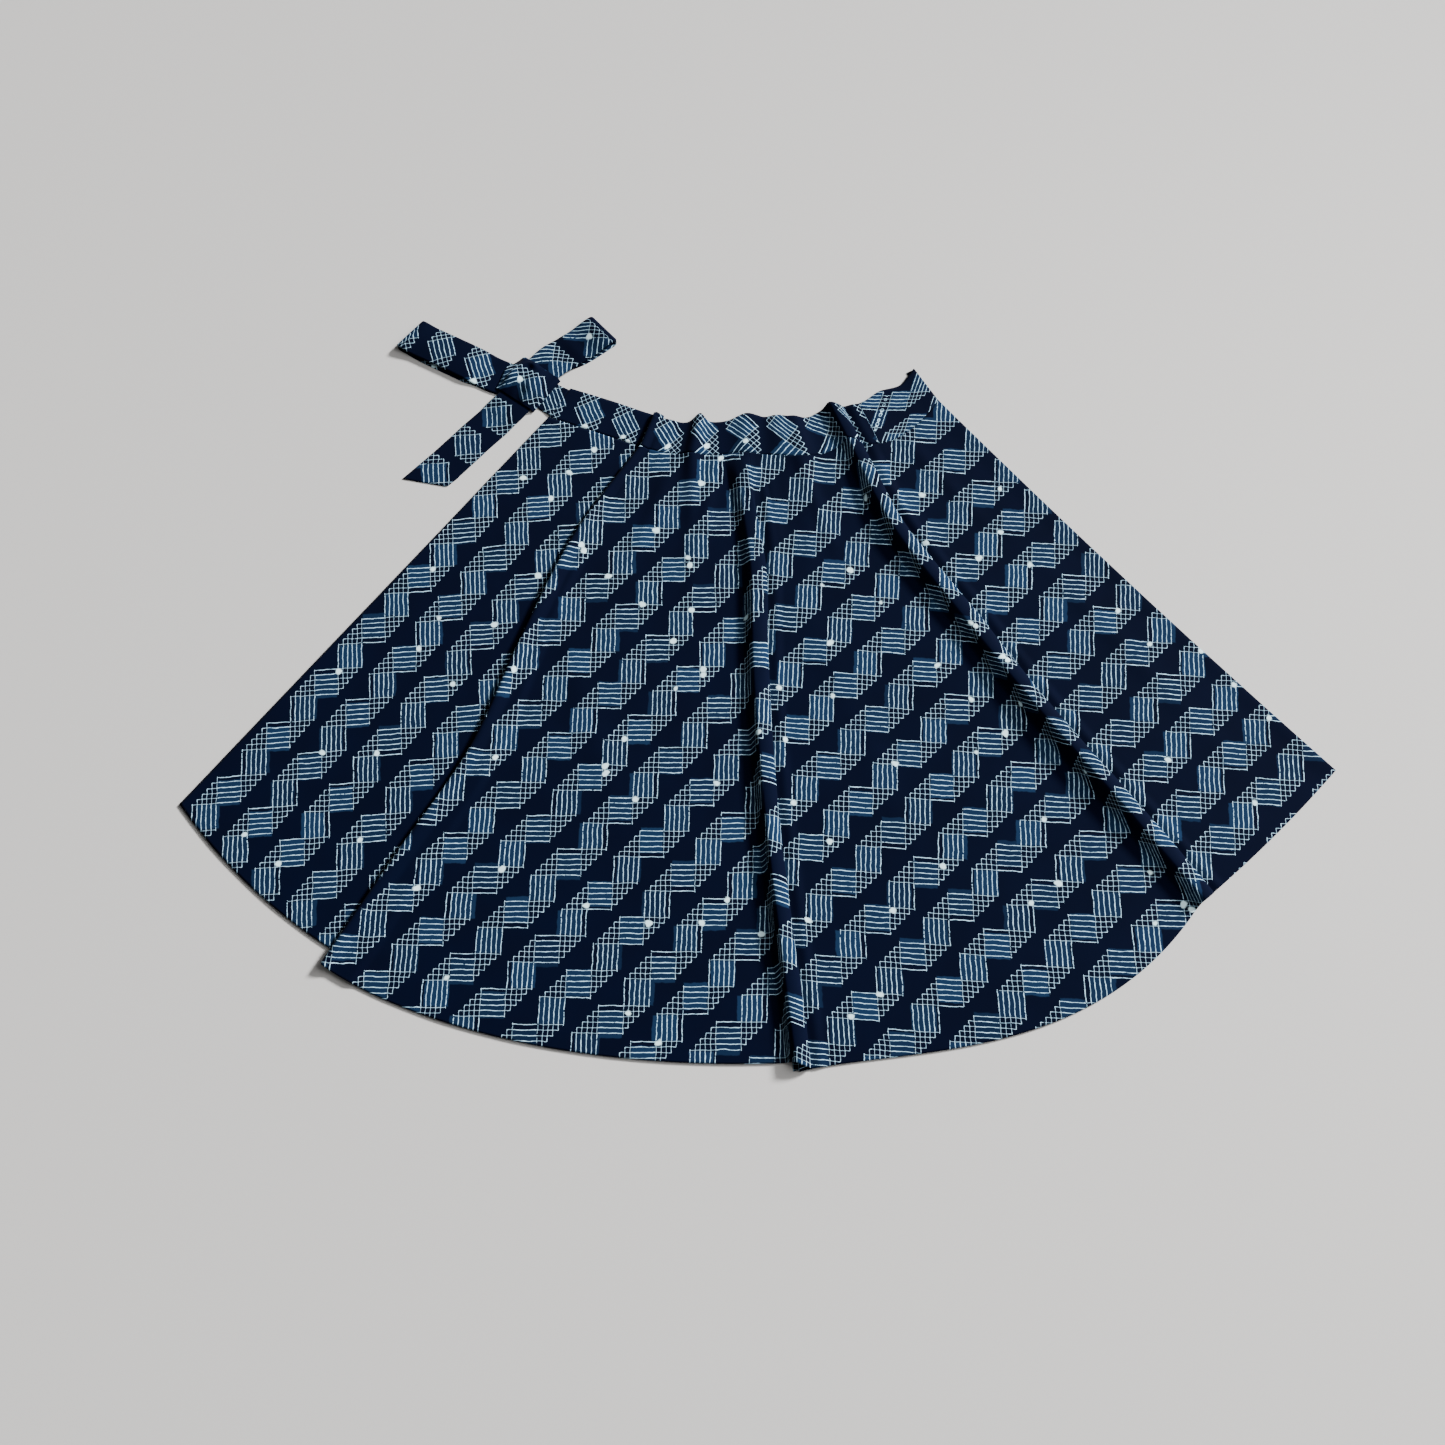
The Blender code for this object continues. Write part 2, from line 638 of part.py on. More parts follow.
def build():
    clear_scene()
    collection = make_collection("wrap_skirt")
    front_cotton = cotton("printed_cotton", INDIGO)
    back_cotton = cotton("printed_cotton_back", DEEP_INDIGO)
    make_front_panel(front_cotton, collection)
    make_back_panel(back_cotton, collection)
    make_waistband_front(front_cotton, collection)
    make_waistband_back(back_cotton, collection)
    lower_top = Z_BACK + PITCH + CLOTH / 2
    climb = lower_top + GAP
    make_strap(front_cotton, collection)
    make_loop("bow_loop_left", LOOP_LEFT_LINE, GRIP_STRAP, 0.0, front_cotton, collection)
    make_loop("bow_loop_right", LOOP_RIGHT_LINE, GRIP_TAIL, climb, front_cotton, collection)
    make_tail(climb, front_cotton, collection)
    make_knot(climb + CLOTH, climb + CLOTH + PITCH, lower_top, CLOTH, front_cotton, collection)


build()
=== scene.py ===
"""Looks of the wrap skirt: indigo cotton with a resist block print, laid flat, its ties knotted in a bow.

Metres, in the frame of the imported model: +X right, +Y towards the waist, +Z up from the surface.
"""

import math

import bmesh
import bpy
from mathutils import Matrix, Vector, noise


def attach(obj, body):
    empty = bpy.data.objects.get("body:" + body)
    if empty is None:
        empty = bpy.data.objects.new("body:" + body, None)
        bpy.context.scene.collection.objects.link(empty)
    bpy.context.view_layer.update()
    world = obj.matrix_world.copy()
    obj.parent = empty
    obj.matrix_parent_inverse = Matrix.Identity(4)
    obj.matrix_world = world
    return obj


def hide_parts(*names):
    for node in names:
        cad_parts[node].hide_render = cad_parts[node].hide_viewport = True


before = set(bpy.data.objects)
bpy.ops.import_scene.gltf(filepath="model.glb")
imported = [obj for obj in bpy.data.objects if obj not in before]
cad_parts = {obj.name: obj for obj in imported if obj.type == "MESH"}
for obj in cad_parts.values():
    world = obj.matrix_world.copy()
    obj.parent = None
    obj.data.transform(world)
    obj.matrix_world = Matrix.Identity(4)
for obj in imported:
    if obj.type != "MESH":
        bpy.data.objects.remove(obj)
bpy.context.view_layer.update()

# Camera of the photograph
CAMERA_PLACE = (-0.052, -0.805, 2.0)
CAMERA_TILT = math.radians(19.6)
CAMERA_LENS = 37.37
CAMERA_SENSOR = 36.0

# Cloth
WALL = 0.0012  # thickness of the solids' walls
SHELL = 0.0008  # thickness of the cloth shown
GAP = 0.0003
SEAM = 0.00045
PITCH = WALL + 0.0006  # rise from one folded layer to the next
Z_BACK = WALL / 2
Z_FRONT = WALL * 1.5 + GAP

# Outline of the laid-out panels
LEFT_WAIST, LEFT_HEM = (-0.317, 0.400), (-0.805, -0.214)
RIGHT_WAIST, RIGHT_HEM = (0.278, 0.430), (0.805, -0.165)
RIGHT_HOLLOW = 0.006
PANEL_LENGTH = 0.9
PANEL_ROWS = 176
BACK_ROWS = 40
BACK_COLUMNS = 16
BACK_INSET = 0.005

# Panels between the sides and the folds, left to right.
# hem_bow, hem_lean: depth and lean of the hem's curve; waist_sag, waist_lean: the same for the waist seam.
# turn: how far the print's grain is turned, in degrees; square: middle of one square with upright lines;
# repeats: whole repeats of the print added, along and across its bands, so that neighbours agree;
# slide_x, slide_y: how far the print has slid, at six stations from the waist seam to the hem.
STILL = (0.0,) * 6
PANELS = (
    dict(hem_bow=0.014, hem_lean=1.0, waist_sag=0.000, waist_lean=1.0, columns=64,
         turn=4.35, square=(-0.3440, 0.3281), repeats=(3, -9), slide_x=STILL, slide_y=STILL),
    dict(hem_bow=0.046, hem_lean=0.87, waist_sag=0.007, waist_lean=0.8, columns=84,
         turn=0.0, square=(-0.1802, 0.2792), repeats=(0, 0),
         slide_x=(0.0, 0.0, 0.0, -0.003, -0.008, -0.013), slide_y=(0.0, 0.0, 0.001, 0.004, 0.009, 0.017)),
    dict(hem_bow=0.068, hem_lean=1.357, waist_sag=0.019, waist_lean=1.6, columns=84,
         turn=-4.65, square=(0.0653, 0.2738), repeats=(2, 3),
         slide_x=(0.0, 0.0, 0.003, 0.011, 0.020, 0.040), slide_y=(0.0, 0.0, 0.001, 0.005, 0.011, 0.021)),
    dict(hem_bow=0.005, hem_lean=1.0, waist_sag=0.030, waist_lean=0.80, columns=64,
         turn=-4.31, square=(0.2201, 0.3403), repeats=(5, 11), slide_x=STILL, slide_y=STILL),
)

# Folds, left to right, at six stations from the waist seam to the hem. The first leans left over its tucked
# edge; the others are ridges that lean right. hidden: depth of the tucked cloth; slip: its slide down the
# fold; open: 0 flat, 1 folded; taken: cloth that a ridge's steep face takes up besides its height; drop: how
# far the print on the ridge has slipped down along it.
OPEN = (1.0,) * 6
FOLDS = (
    dict(
        crest_x=(-0.177, -0.271, -0.342, -0.406, -0.497, -0.588),
        crest_y=(0.347, 0.199, 0.035, -0.132, -0.284, -0.437),
        hidden=(0.015, 0.020, 0.026, 0.031, 0.036, 0.040),
        roll=(0.0035, 0.0045, 0.0050, 0.0045, 0.0050, 0.0040),
        slip=(0.002, 0.004, 0.008, 0.013, 0.018, 0.023),
        open=OPEN,
    ),
    dict(
        crest_x=(-0.0400, -0.0167, -0.0120, 0.0010, 0.0200, 0.0410),
        crest_y=(0.336, 0.161, -0.026, -0.213, -0.399, -0.580),
        width=(0.020, 0.028, 0.026, 0.024, 0.024, 0.024),
        height=(0.004, 0.013, 0.016, 0.017, 0.017, 0.015),
        hidden=(0.006, 0.012, 0.014, 0.014, 0.014, 0.014),
        slip=(0.000, 0.002, 0.004, 0.007, 0.010, 0.014),
        taken=(0.000, 0.003, 0.003, 0.008, 0.018, 0.021),
        drop=(0.002, 0.003, 0.007, 0.008, 0.011, 0.018),
        open=(0.0, 1.0, 1.0, 1.0, 1.0, 1.0),
    ),
    dict(
        crest_x=(0.134, 0.192, 0.289, 0.388, 0.494, 0.594),
        crest_y=(0.357, 0.208, 0.061, -0.084, -0.224, -0.356),
        width=(0.020, 0.028, 0.029, 0.029, 0.029, 0.026),
        height=(0.012, 0.018, 0.018, 0.021, 0.020, 0.016),
        hidden=(0.008, 0.010, 0.010, 0.010, 0.010, 0.010),
        slip=STILL,
        taken=(0.000, 0.012, 0.017, 0.016, 0.015, 0.014),
        drop=(0.006, 0.008, 0.003, 0.003, 0.003, 0.003),
        open=OPEN,
    ),
)
FOLD_STEP = 0.02  # share of the length over which a fold's direction is taken
FOLD_SWELL = 0.060  # how far a half-open fold stands up
ROLL_TAIL = 3.5  # a roll settles over this many radii
ROLL_CLEAR = 0.004  # tucked cloth beyond the roll, at least
SETTLE = 0.014  # length over which the upper layer comes down past the tucked cloth
TUCK_MARGIN = 0.002
TURN_POINTS, ROLL_POINTS, FALL_POINTS, SETTLE_POINTS = 8, 16, 12, 6
RIDGE_FOOT = 0.010  # how far left of its crest a ridge starts to rise
RIDGE_TOP = 0.25  # share of a ridge's width where it is highest
RIDGE_EDGE = 0.0025  # radius at which its right edge turns under
RIDGE_BESIDE = 0.024  # width of the cloth right of a ridge that rises a little towards it
RIDGE_LIFT = 0.0022
RIDGE_UNEVEN = (0.10, -0.16)  # share by which a ridge's width and height wander
RISE_POINTS, BACK_POINTS, EDGE_POINTS, TUCK_POINTS, BESIDE_POINTS = 12, 10, 5, 6, 8
QUARTERS = (0.25, 0.5, 0.75)
THIRDS = (0.33, 0.67)

# Gathers below the waistband: x, half width, height, lift of the band's edge, and reach down the cloth
GATHERS = (
    (-0.148, 0.012, 0.003, 0.001, 0.05),
    (-0.098, 0.013, 0.009, 0.011, 0.10),
    (-0.016, 0.020, 0.006, 0.009, 0.04),
    (0.042, 0.026, 0.006, 0.007, 0.10),
    (0.074, 0.016, 0.005, 0.004, 0.10),
    (0.185, 0.020, 0.003, 0.002, 0.08),
)
PLACES = 7  # places along a row: one for each panel and one for each fold

# Soft creases of the laid cloth: start, end, half width and height of each
CREASES = (
    ((-0.120, 0.330), (-0.190, 0.150), 0.012, 0.0022),
    ((-0.062, 0.330), (-0.085, 0.190), 0.010, 0.0026),
    ((0.010, 0.335), (0.030, 0.170), 0.012, 0.0028),
    ((0.060, 0.335), (0.110, 0.190), 0.011, 0.0024),
    ((0.150, 0.340), (0.262, 0.180), 0.014, 0.0022),
    ((0.215, 0.375), (0.330, 0.230), 0.013, 0.0018),
    ((-0.250, 0.370), (-0.420, 0.120), 0.016, 0.0014),
    ((-0.300, 0.100), (-0.190, -0.250), 0.020, 0.0012),
    ((0.080, 0.050), (0.220, -0.300), 0.022, 0.0012),
    ((0.450, 0.120), (0.640, -0.120), 0.018, 0.0014),
)
CREASE_PAST = 0.3  # share of its length by which a crease runs on past its ends
CREASE_IN, CREASE_OUT = 0.5, 0.6  # shares over which it grows and fades
CREASE_REACH = 3  # half widths beyond which it is left out

# Waviness of the laid cloth: waves to the metre, share and seed of each
WAVES = ((5, 1.0, 3.1), (14, 0.5, 7.7))
WAVE_HEIGHT = 0.0006

# Side fold on the right
SIDE_ROLL = 0.0015
SIDE_UNDER = 0.012
SIDE_EASE = 0.030
SIDE_POINTS = 8

# Waistband: lean of its upright lines and its height, at even places from left to right
BAND_ROWS = 14
BACK_BAND_ROWS = 6
BAND_LEAN = (0.62, 0.36, 0.0, -0.42, -0.62)
BAND_RISE = (
    0.060, 0.060, 0.059, 0.066, 0.057, 0.058, 0.057, 0.058,
    0.063, 0.065, 0.068, 0.068, 0.074, 0.083, 0.066,
)
BACK_BAND_RISE = 0.044

# Ties and bow
TIE_WIDTH = 0.058
TIE_PINCH = 0.050
KNOT = (-0.350, 0.457)
LOOP_LEFT_LINE = (KNOT, (-0.388, 0.467), (-0.539, 0.546))
LOOP_RIGHT_LINE = (KNOT, (-0.3185, 0.4965), (-0.2340, 0.5530))
TAIL_LINE = (KNOT, (-0.367, 0.429), (-0.491, 0.296))
TAIL_CUT = ((-0.449, 0.297), (-0.465, 0.282), (-0.533, 0.295))
TAIL_SQUARE = 0.85
TAIL_TOE = 0.25
# roll: radius of the folded end; puff: how far the upper layer stands up; skew: how far the right edge runs
# ahead; shift: how far the under layer lies to the side
LOOP_LEFT_SHAPE = dict(roll=0.0048, puff=0.004, skew=-0.006, shift=-0.0035)
LOOP_RIGHT_SHAPE = dict(roll=0.0068, puff=0.003, skew=0.004, shift=0.0030)
LOOP_LEFT_PRINT, LOOP_RIGHT_PRINT, TAIL_PRINT = 0.150, 0.055, 0.070  # where the print starts, from the knot
TIE_ROUND = 0.006  # radius of the corners at a loop's folded end
TIE_WANDER = 0.0012
PUFF_START, PUFF_LENGTH = 0.066, 0.030
LOOP_FLAT = 2.5  # a loop's under layer stays flat up to this many radii from its end
LOOP_SLIDE_END = 0.05
LOOP_CROWN = 0.0022  # rise of the middle of a loop's upper layer
LOOP_SETTLE = 6.0
LOOP_STEPS = 40
TURN_STEPS = 14
TIE_CORNER = 0.020
PINCH_LENGTH = 0.050
CLIMB_START, CLIMB_LENGTH = 0.056, 0.030
TIE_COLUMNS = 22
TAIL_STEPS = 14
GRIP_STRAP, GRIP_TAIL = 0.006, 0.002
STRAP_ROWS = 24
STRAP_RISE = 0.7  # share of the strap's length from which it rises to the waistband
STRAP_EDGE = 0.06
KNOT_HALF_LENGTH = 0.034
KNOT_HALF_WIDTH = 0.0358
KNOT_DOME = 0.007
KNOT_BULGE, KNOT_BULGE_REACH = 0.009, 0.020
KNOT_SHOULDER, KNOT_DROP = 0.031, 0.004
KNOT_RAMP, KNOT_RAMP_LENGTH = 0.020, 0.015
KNOT_STEPS = 48
KNOT_PRINT = 0.014  # shift of the print across the knot
# Small tuft of cloth that stands up at the top of the knot: height, place along and across, half widths
KNOT_PINCH = dict(height=0.006, along=0.029, side=-0.30, half_along=0.006, half_side=0.22)
# Creases of the knot: place across it, how they turn along it, and height
KNOT_CREASES = ((-0.62, 0.10, 0.0022), (-0.20, -0.22, -0.0016), (0.25, -0.12, 0.0014), (0.60, 0.10, -0.0012))
KNOT_CREASE_HALF = 0.16

# Print: cells of the block, step from one zigzag band to the next in cells, and the lines
CELL = (0.03331, 0.03767)
BAND_STEP = (1.345, 1.293)
SPACES = 5  # between the lines of a square
SLACK = 0.035  # by which the lines run past their cells
LINE_WIDTH = 0.00056
LINE_EDGE = 0.0006  # softness of a line's edge
LINE_UNEVEN = (1.6, -0.23)  # spread and shift of a line's uneven width
LATTICE_THIN, LATTICE_PALE = -0.62, -0.14  # change of the lines where they cross
KNOT_DROP_SIZE = 0.0005  # how far the resist spreads where two lines cross
# Broken lines: noise below which a line breaks, and more so near the edges of the squares
LINE_BROKEN, LINE_BROKEN_EDGE = 0.31, 0.10
BORDER_HALF, BORDER_EDGE, BORDER_BROKEN = 0.06, 0.01, 0.08
WAVER, JITTER = 0.0030, 0.0010  # how far the hand-drawn lines stray, slowly and quickly
WAVER_SCALE, JITTER_SCALE, THICK_SCALE, BREAK_SCALE, RAGGED_SCALE, SHADE_SCALE = 55, 260, 120, 330, 90, 9
# Brushed blue, across and along a square's lines: how far it strays, and half its size
FILL_STRAY = (0.42, 0.04)
FILL_HALF = (0.49, 0.47)
FILL_EDGE, FILL_RAGGED = 0.04, 0.10
FILL_FAINTEST = 0.4
# Drops of resist at the squares' corners: place in the repeat, radius, and share of the corners with one
DROPS = (
    dict(seed=3.0, place=(2.07, 1.93), radius=0.110, share=0.32),
    dict(seed=4.0, place=(0.95, 1.06), radius=0.095, share=0.20),
    dict(seed=5.0, place=(2.22, 1.72), radius=0.105, share=0.13),
)
DROP_STRAY, DROP_RAGGED, DROP_EDGE = 0.14, 0.26, 0.05
THREADS, SLUBS = 2200, 130  # of the weave, to the metre

# Colours
NAVY = (0.00044, 0.0015, 0.0080)
FILL_BLUE = (0.0047, 0.0164, 0.0430)
RESIST_WHITE = (0.50, 0.78, 0.98)
BLOB_WHITE = (0.50, 0.70, 0.76)
GROUND_SHADES = (0.70, 1.35)  # darkest and lightest dye of the ground
LINE_COVER = 0.95  # how well a line resists the dye
COTTON_SURFACE = {"Roughness": 0.82, "Specular IOR Level": 0.02, "Sheen Weight": 0.01, "Sheen Roughness": 0.5}
WEAVE_BUMP = {"Strength": 0.25, "Distance": 0.0003}
FLOOR_GREY = (0.42, 0.41, 0.40)
FLOOR_ROUGHNESS = 0.9

# Stage
FLOOR_HALF = 6.0
FLOOR_DROP = 0.0002
ROOM_LIGHT = 0.14
LIGHT_AIM = (0, -0.05, 0)
SUN_SPREAD = math.radians(10)
AREA_SIZE = 2.0
LIGHTS = (
    dict(name="key", kind="SUN", place=(2.4, 1.5, 1.5), power=13.0),
    dict(name="soft", kind="AREA", place=(1.7, 0.1, 2.2), power=75.0),
)


# Plain helpers

def ease(amount):
    """Smooth step from 0 to 1."""
    amount = min(max(amount, 0.0), 1.0)
    return amount * amount * (3 - 2 * amount)


def mix(first, second, amount):
    return first + (second - first) * amount


def parts(steps, first=0):
    """Even shares from 0 to 1 in so many steps."""
    return [step / steps for step in range(first, steps + 1)]


def raised(plan, height):
    return Vector((plan.x, plan.y, height))


def at_station(values, along):
    """Value at a share of the length, on a smooth curve through a row's even stations."""
    last = len(values) - 1
    place = min(max(along, 0.0), 1.0) * last
    low = min(int(place), last - 1)
    part = place - low
    before, start, end, after = (values[0], *values, values[-1])[low:low + 4]
    square, cube = part ** 2, part ** 3
    return (
        (2 * cube - 3 * square + 1) * start
        + (cube - 2 * square + part) * ((end - before) / 2)
        + (3 * square - 2 * cube) * end
        + (cube - square) * ((after - start) / 2)
    )


def turned(vector, degrees):
    angle = math.radians(degrees)
    cosine, sine = math.cos(angle), math.sin(angle)
    return Vector((cosine * vector.x - sine * vector.y, sine * vector.x + cosine * vector.y))


# Layout of the skirt, the same as in its solids

def crest(fold, along):
    return Vector((at_station(fold["crest_x"], along), at_station(fold["crest_y"], along)))


def fold_axes(fold, along):
    down = crest(fold, min(along + FOLD_STEP, 1.0)) - crest(fold, max(along - FOLD_STEP, 0.0))
    down.normalize()
    return down, Vector((-down.y, down.x))


def right_side(along):
    waist, hem = Vector(RIGHT_WAIST), Vector(RIGHT_HEM)
    inward = Vector((waist.y - hem.y, hem.x - waist.x)).normalized()
    return waist.lerp(hem, along) - inward * RIGHT_HOLLOW * 4 * along * (1 - along)


def panel_ends(index, along):
    if index == 0:
        start = Vector(LEFT_WAIST).lerp(Vector(LEFT_HEM), along)
    else:
        start = crest(FOLDS[index - 1], along)
    if index == len(FOLDS):
        return start, right_side(along)
    fold = FOLDS[index]
    down, _ = fold_axes(fold, along)
    return start, crest(fold, along) - down * at_station(fold["slip"], along)


def row_length(index, along):
    start, end = panel_ends(index, along)
    return (end - start).length


def panel_plan(index, share, along):
    start, end = panel_ends(index, along)
    panel = PANELS[index]
    chord = end - start
    outward = Vector((chord.y, -chord.x)).normalized()
    lean = max(share, 0.0) ** panel["hem_lean"]
    bow = 4 * lean * (1 - lean) * panel["hem_bow"] * along ** 1.3
    dip = max(share, 0.0) ** panel["waist_lean"]
    sag = 4 * dip * (1 - dip) * panel["waist_sag"] * (1 - along) ** 6
    return start + chord * share + outward * (bow + sag)


def plan_from_left(index, distance, along):
    return panel_plan(index, distance / row_length(index, along), along)


def gather_height(place, along):
    total = 0.0
    for middle, half, height, _, reach in GATHERS:
        spread = math.exp(-(((place.x - middle) / half) ** 2))
        total += height * spread * math.exp(-along * PANEL_LENGTH / reach)
    return total


def crease_height(place):
    """Soft ridges and the slight waviness of cloth that was laid out by hand."""
    total = 0.0
    for first, last, half, height in CREASES:
        start, line = Vector(first), Vector(last) - Vector(first)
        share = (place - start).dot(line) / line.length_squared
        if not -CREASE_PAST < share < 1 + CREASE_PAST:
            continue
        beside = (place - start - line * share).length / half
        if beside < CREASE_REACH:
            ends = ease((share + CREASE_PAST) / CREASE_IN) * ease((1 + CREASE_PAST - share) / CREASE_OUT)
            total += height * math.exp(-beside ** 2) * ends
    wave = sum(share * noise.noise(raised(place * scale, seed)) for scale, share, seed in WAVES)
    return total + WAVE_HEIGHT * (1 + wave)


def arc(centre, radii, angles, layers, steps, first=0):
    """Arc in a fold's section, between two angles in degrees and two layers."""
    points = []
    for part in parts(steps, first):
        angle = math.radians(mix(*angles, part))
        point = (centre[0] + radii[0] * math.cos(angle), centre[1] + radii[1] * math.sin(angle))
        points.append((*point, mix(*layers, part)))
    return points


def stretch(starts, ends, shares):
    """Straight stretch in a fold's section, between two (distance, height, layer)."""
    return [tuple(mix(start, end, share) for start, end in zip(starts, ends)) for share in shares]


def left_leaning(fold, along):
    """Section of a fold that leans left, as (distance right of the crest, height, layer), the order of its
    tucked edge, and where it starts and ends."""
    roll = at_station(fold["roll"], along)
    hidden = max(at_station(fold["hidden"], along), roll + ROLL_CLEAR)
    turn = PITCH / 2
    points = stretch((hidden / 4, 0.0, 0.0), (hidden - PITCH, 0.0, 0.0), (0.0, *QUARTERS, 1.0))
    tip = len(points) + TURN_POINTS // 2
    points += arc((hidden, turn), (turn, turn), (-90, 90), (0.0, 1.0), TURN_POINTS)
    points += stretch((hidden, PITCH, 1.0), (roll, PITCH, 1.0), QUARTERS)
    points += arc((roll, PITCH + roll), (roll, roll), (-90, -270), (1.0, 2.0), ROLL_POINTS)
    reach = max(hidden + TUCK_MARGIN, roll * (1 + ROLL_TAIL))
    for part in parts(FALL_POINTS, 1):
        distance = mix(roll, reach, part)
        fall = ease((distance - roll) / (ROLL_TAIL * roll))
        points.append((distance, 2 * PITCH + (2 * roll - PITCH) * (1 - fall), 2.0))
    for part in parts(SETTLE_POINTS, 1):
        points.append((reach + SETTLE * part, 2 * PITCH * (1 - ease(part)), 2.0))
    return points, tip, 0.0, reach + SETTLE


def right_leaning(fold, along):
    """The same for a standing ridge that leans right: steep left face, rounded top, edge turned under."""
    wander = noise.noise(Vector((along * 9.0, fold["width"][1] * 900, 0.5)))
    width = at_station(fold["width"], along) * (1 + RIDGE_UNEVEN[0] * wander)
    height = at_station(fold["height"], along) * (1 + RIDGE_UNEVEN[1] * wander)
    tip = width - at_station(fold["hidden"], along)
    top = RIDGE_TOP * width
    points = [(mix(-RIDGE_FOOT, top, part), height * ease(part), 0.0) for part in parts(RISE_POINTS, 1)]
    edge = PITCH + RIDGE_EDGE
    turn = PITCH / 2
    points += arc((top, edge), (width - top, height - edge), (90, 0), (0.0, 0.0), BACK_POINTS, 1)
    points += arc((width - RIDGE_EDGE, edge), (RIDGE_EDGE, RIDGE_EDGE), (0, -90), (0.0, 1.0), EDGE_POINTS, 1)
    points += stretch((width - RIDGE_EDGE, PITCH, 1.0), (tip, PITCH, 1.4), THIRDS)
    tip_order = len(points) + TUCK_POINTS // 2
    points += arc((tip, turn), (turn, turn), (90, 270), (1.4, 1.6), TUCK_POINTS)
    points += stretch((tip, 0.0, 1.6), (width, 0.0, 2.0), THIRDS)
    for part in parts(BESIDE_POINTS):
        points.append((width + RIDGE_BESIDE * part, RIDGE_LIFT * math.sin(math.pi * part) ** 2, 2.0))
    return points, tip_order, -RIDGE_FOOT, width + RIDGE_BESIDE


def opening(fold, along):
    return min(max(at_station(fold["open"], along), 0.0), 1.0)


def fold_section(fold, along):
    """Section of a fold, partly flattened where the fold isn't fully open."""
    make = left_leaning if "roll" in fold else right_leaning
    points, tip, first, last = make(fold, along)
    opened = opening(fold, along)
    swell = FOLD_SWELL * opened * (1 - opened)
    section = []
    for order, (distance, height, layer) in enumerate(points):
        even = (order + 1) / len(points)
        section.append((
            mix(mix(first, last, even), distance, opened),
            mix(swell * math.sin(math.pi * even), height, opened),
            mix(2 * even, layer, opened),
        ))
    return section, tip, first, last


def print_place(index, place, along):
    """Place on the printed cloth of a point of a panel that lies flat."""
    panel = PANELS[index]
    repeat_along, repeat_across = panel["repeats"]
    base = Vector((
        CELL[0] * (0.5 + 2 * repeat_along + BAND_STEP[0] * repeat_across),
        CELL[1] * (0.5 + 2 * repeat_along - BAND_STEP[1] * repeat_across),
    ))
    slide = Vector((at_station(panel["slide_x"], along), at_station(panel["slide_y"], along)))
    return base + turned(place - slide - Vector(panel["square"]), -panel["turn"])


def front_row(along):
    """One row of the front layer as strips, each a list of (plan, height, print place, place)."""
    strips = [[] for _ in PANELS]
    start_share = 0.0
    for index, panel in enumerate(PANELS):
        length = row_length(index, along)
        at_side = index == len(FOLDS)
        if at_side:
            end_share = 1.0 - SIDE_EASE / length
        else:
            section, tip, first, last = fold_section(FOLDS[index], along)
            end_share = 1.0 + first / length
        for column in range(1 if index else 0, panel["columns"] + (0 if at_side else 1)):
            part = column / panel["columns"]
            plan = panel_plan(index, mix(start_share, end_share, part), along)
            strips[index].append((plan, Z_FRONT, print_place(index, plan, along), 2 * index + part))
        if at_side:
            strips[index] += side_turn(along, end_share)
        else:
            tucked, upper = fold_row(index, along, section, tip)
            strips[index] += tucked
            strips[index + 1] = upper
            start_share = last / row_length(index + 1, along)
    return strips


def fold_plan(index, distance, layer, along):
    """Plan position in a fold's section, which passes from the left panel's layout to the right one's."""
    over = plan_from_left(index + 1, distance, along)
    if layer >= 2.0:
        return over
    if distance < 0.0:
        return panel_plan(index, 1.0 + distance / row_length(index, along), along)
    fold = FOLDS[index]
    down, across = fold_axes(fold, along)
    slide = at_station(fold["slip"], along)
    if "roll" in fold:
        below = 1 - layer / 2
        slide *= below * (1 - 0.5 * below * min(distance / at_station(fold["hidden"], along), 1.0))
        passed = ease(layer - 1.0)
    else:
        passed = 1.0 if layer > 0.0 else min(distance / at_station(fold["width"], along), 1.0)
    under = crest(fold, along) + across * distance - down * slide
    return under.lerp(over, passed)


def fold_row(index, along, section, tip):
    """The part of a row that makes one fold: its entries left and right of the tucked edge.

    The print runs on from the left up to the tucked edge and comes from the right beyond it. On a fold that
    leans left the cloth seen belongs to the right side, on a ridge to the left side.
    """
    fold = FOLDS[index]
    points = [(fold_plan(index, distance, layer, along), height) for distance, height, layer in section]
    travels = [0.0]
    for (plan, height), (after_plan, after_height) in zip(points, points[1:]):
        travels.append(travels[-1] + math.hypot((after_plan - plan).length, after_height - height))
    down, across = fold_axes(fold, along)
    anchor = points[-1][0]
    inward = (panel_plan(index + 1, 0.0, along) - anchor).normalized()

    def printed(order, beyond):
        place = points[order][0]
        if "roll" not in fold:
            climbed = ease(order / (RISE_POINTS - 1))
            run = travels[order] + at_station(fold["taken"], along) * climbed
            slipped = at_station(fold["drop"], along) * climbed
            place = points[0][0] + across * run + down * slipped
        left = print_place(index, place, along)
        right = print_place(index + 1, anchor + inward * (travels[-1] - travels[order]), along)
        share = mix(ease((order + 1) / len(points)), beyond, ease(2 * opening(fold, along)))
        return left.lerp(right, share)

    entries = []
    for order, ((plan, height), (_, _, layer)) in enumerate(zip(points, section)):
        place = printed(order, 0.0 if order < tip else 1.0)
        entries.append((plan, Z_FRONT + height, place, 2 * index + 1 + layer / 2))
    plan, height, _, place = entries[tip]
    return entries[:tip] + [(plan, height, printed(tip, 0.0), place)], entries[tip:]


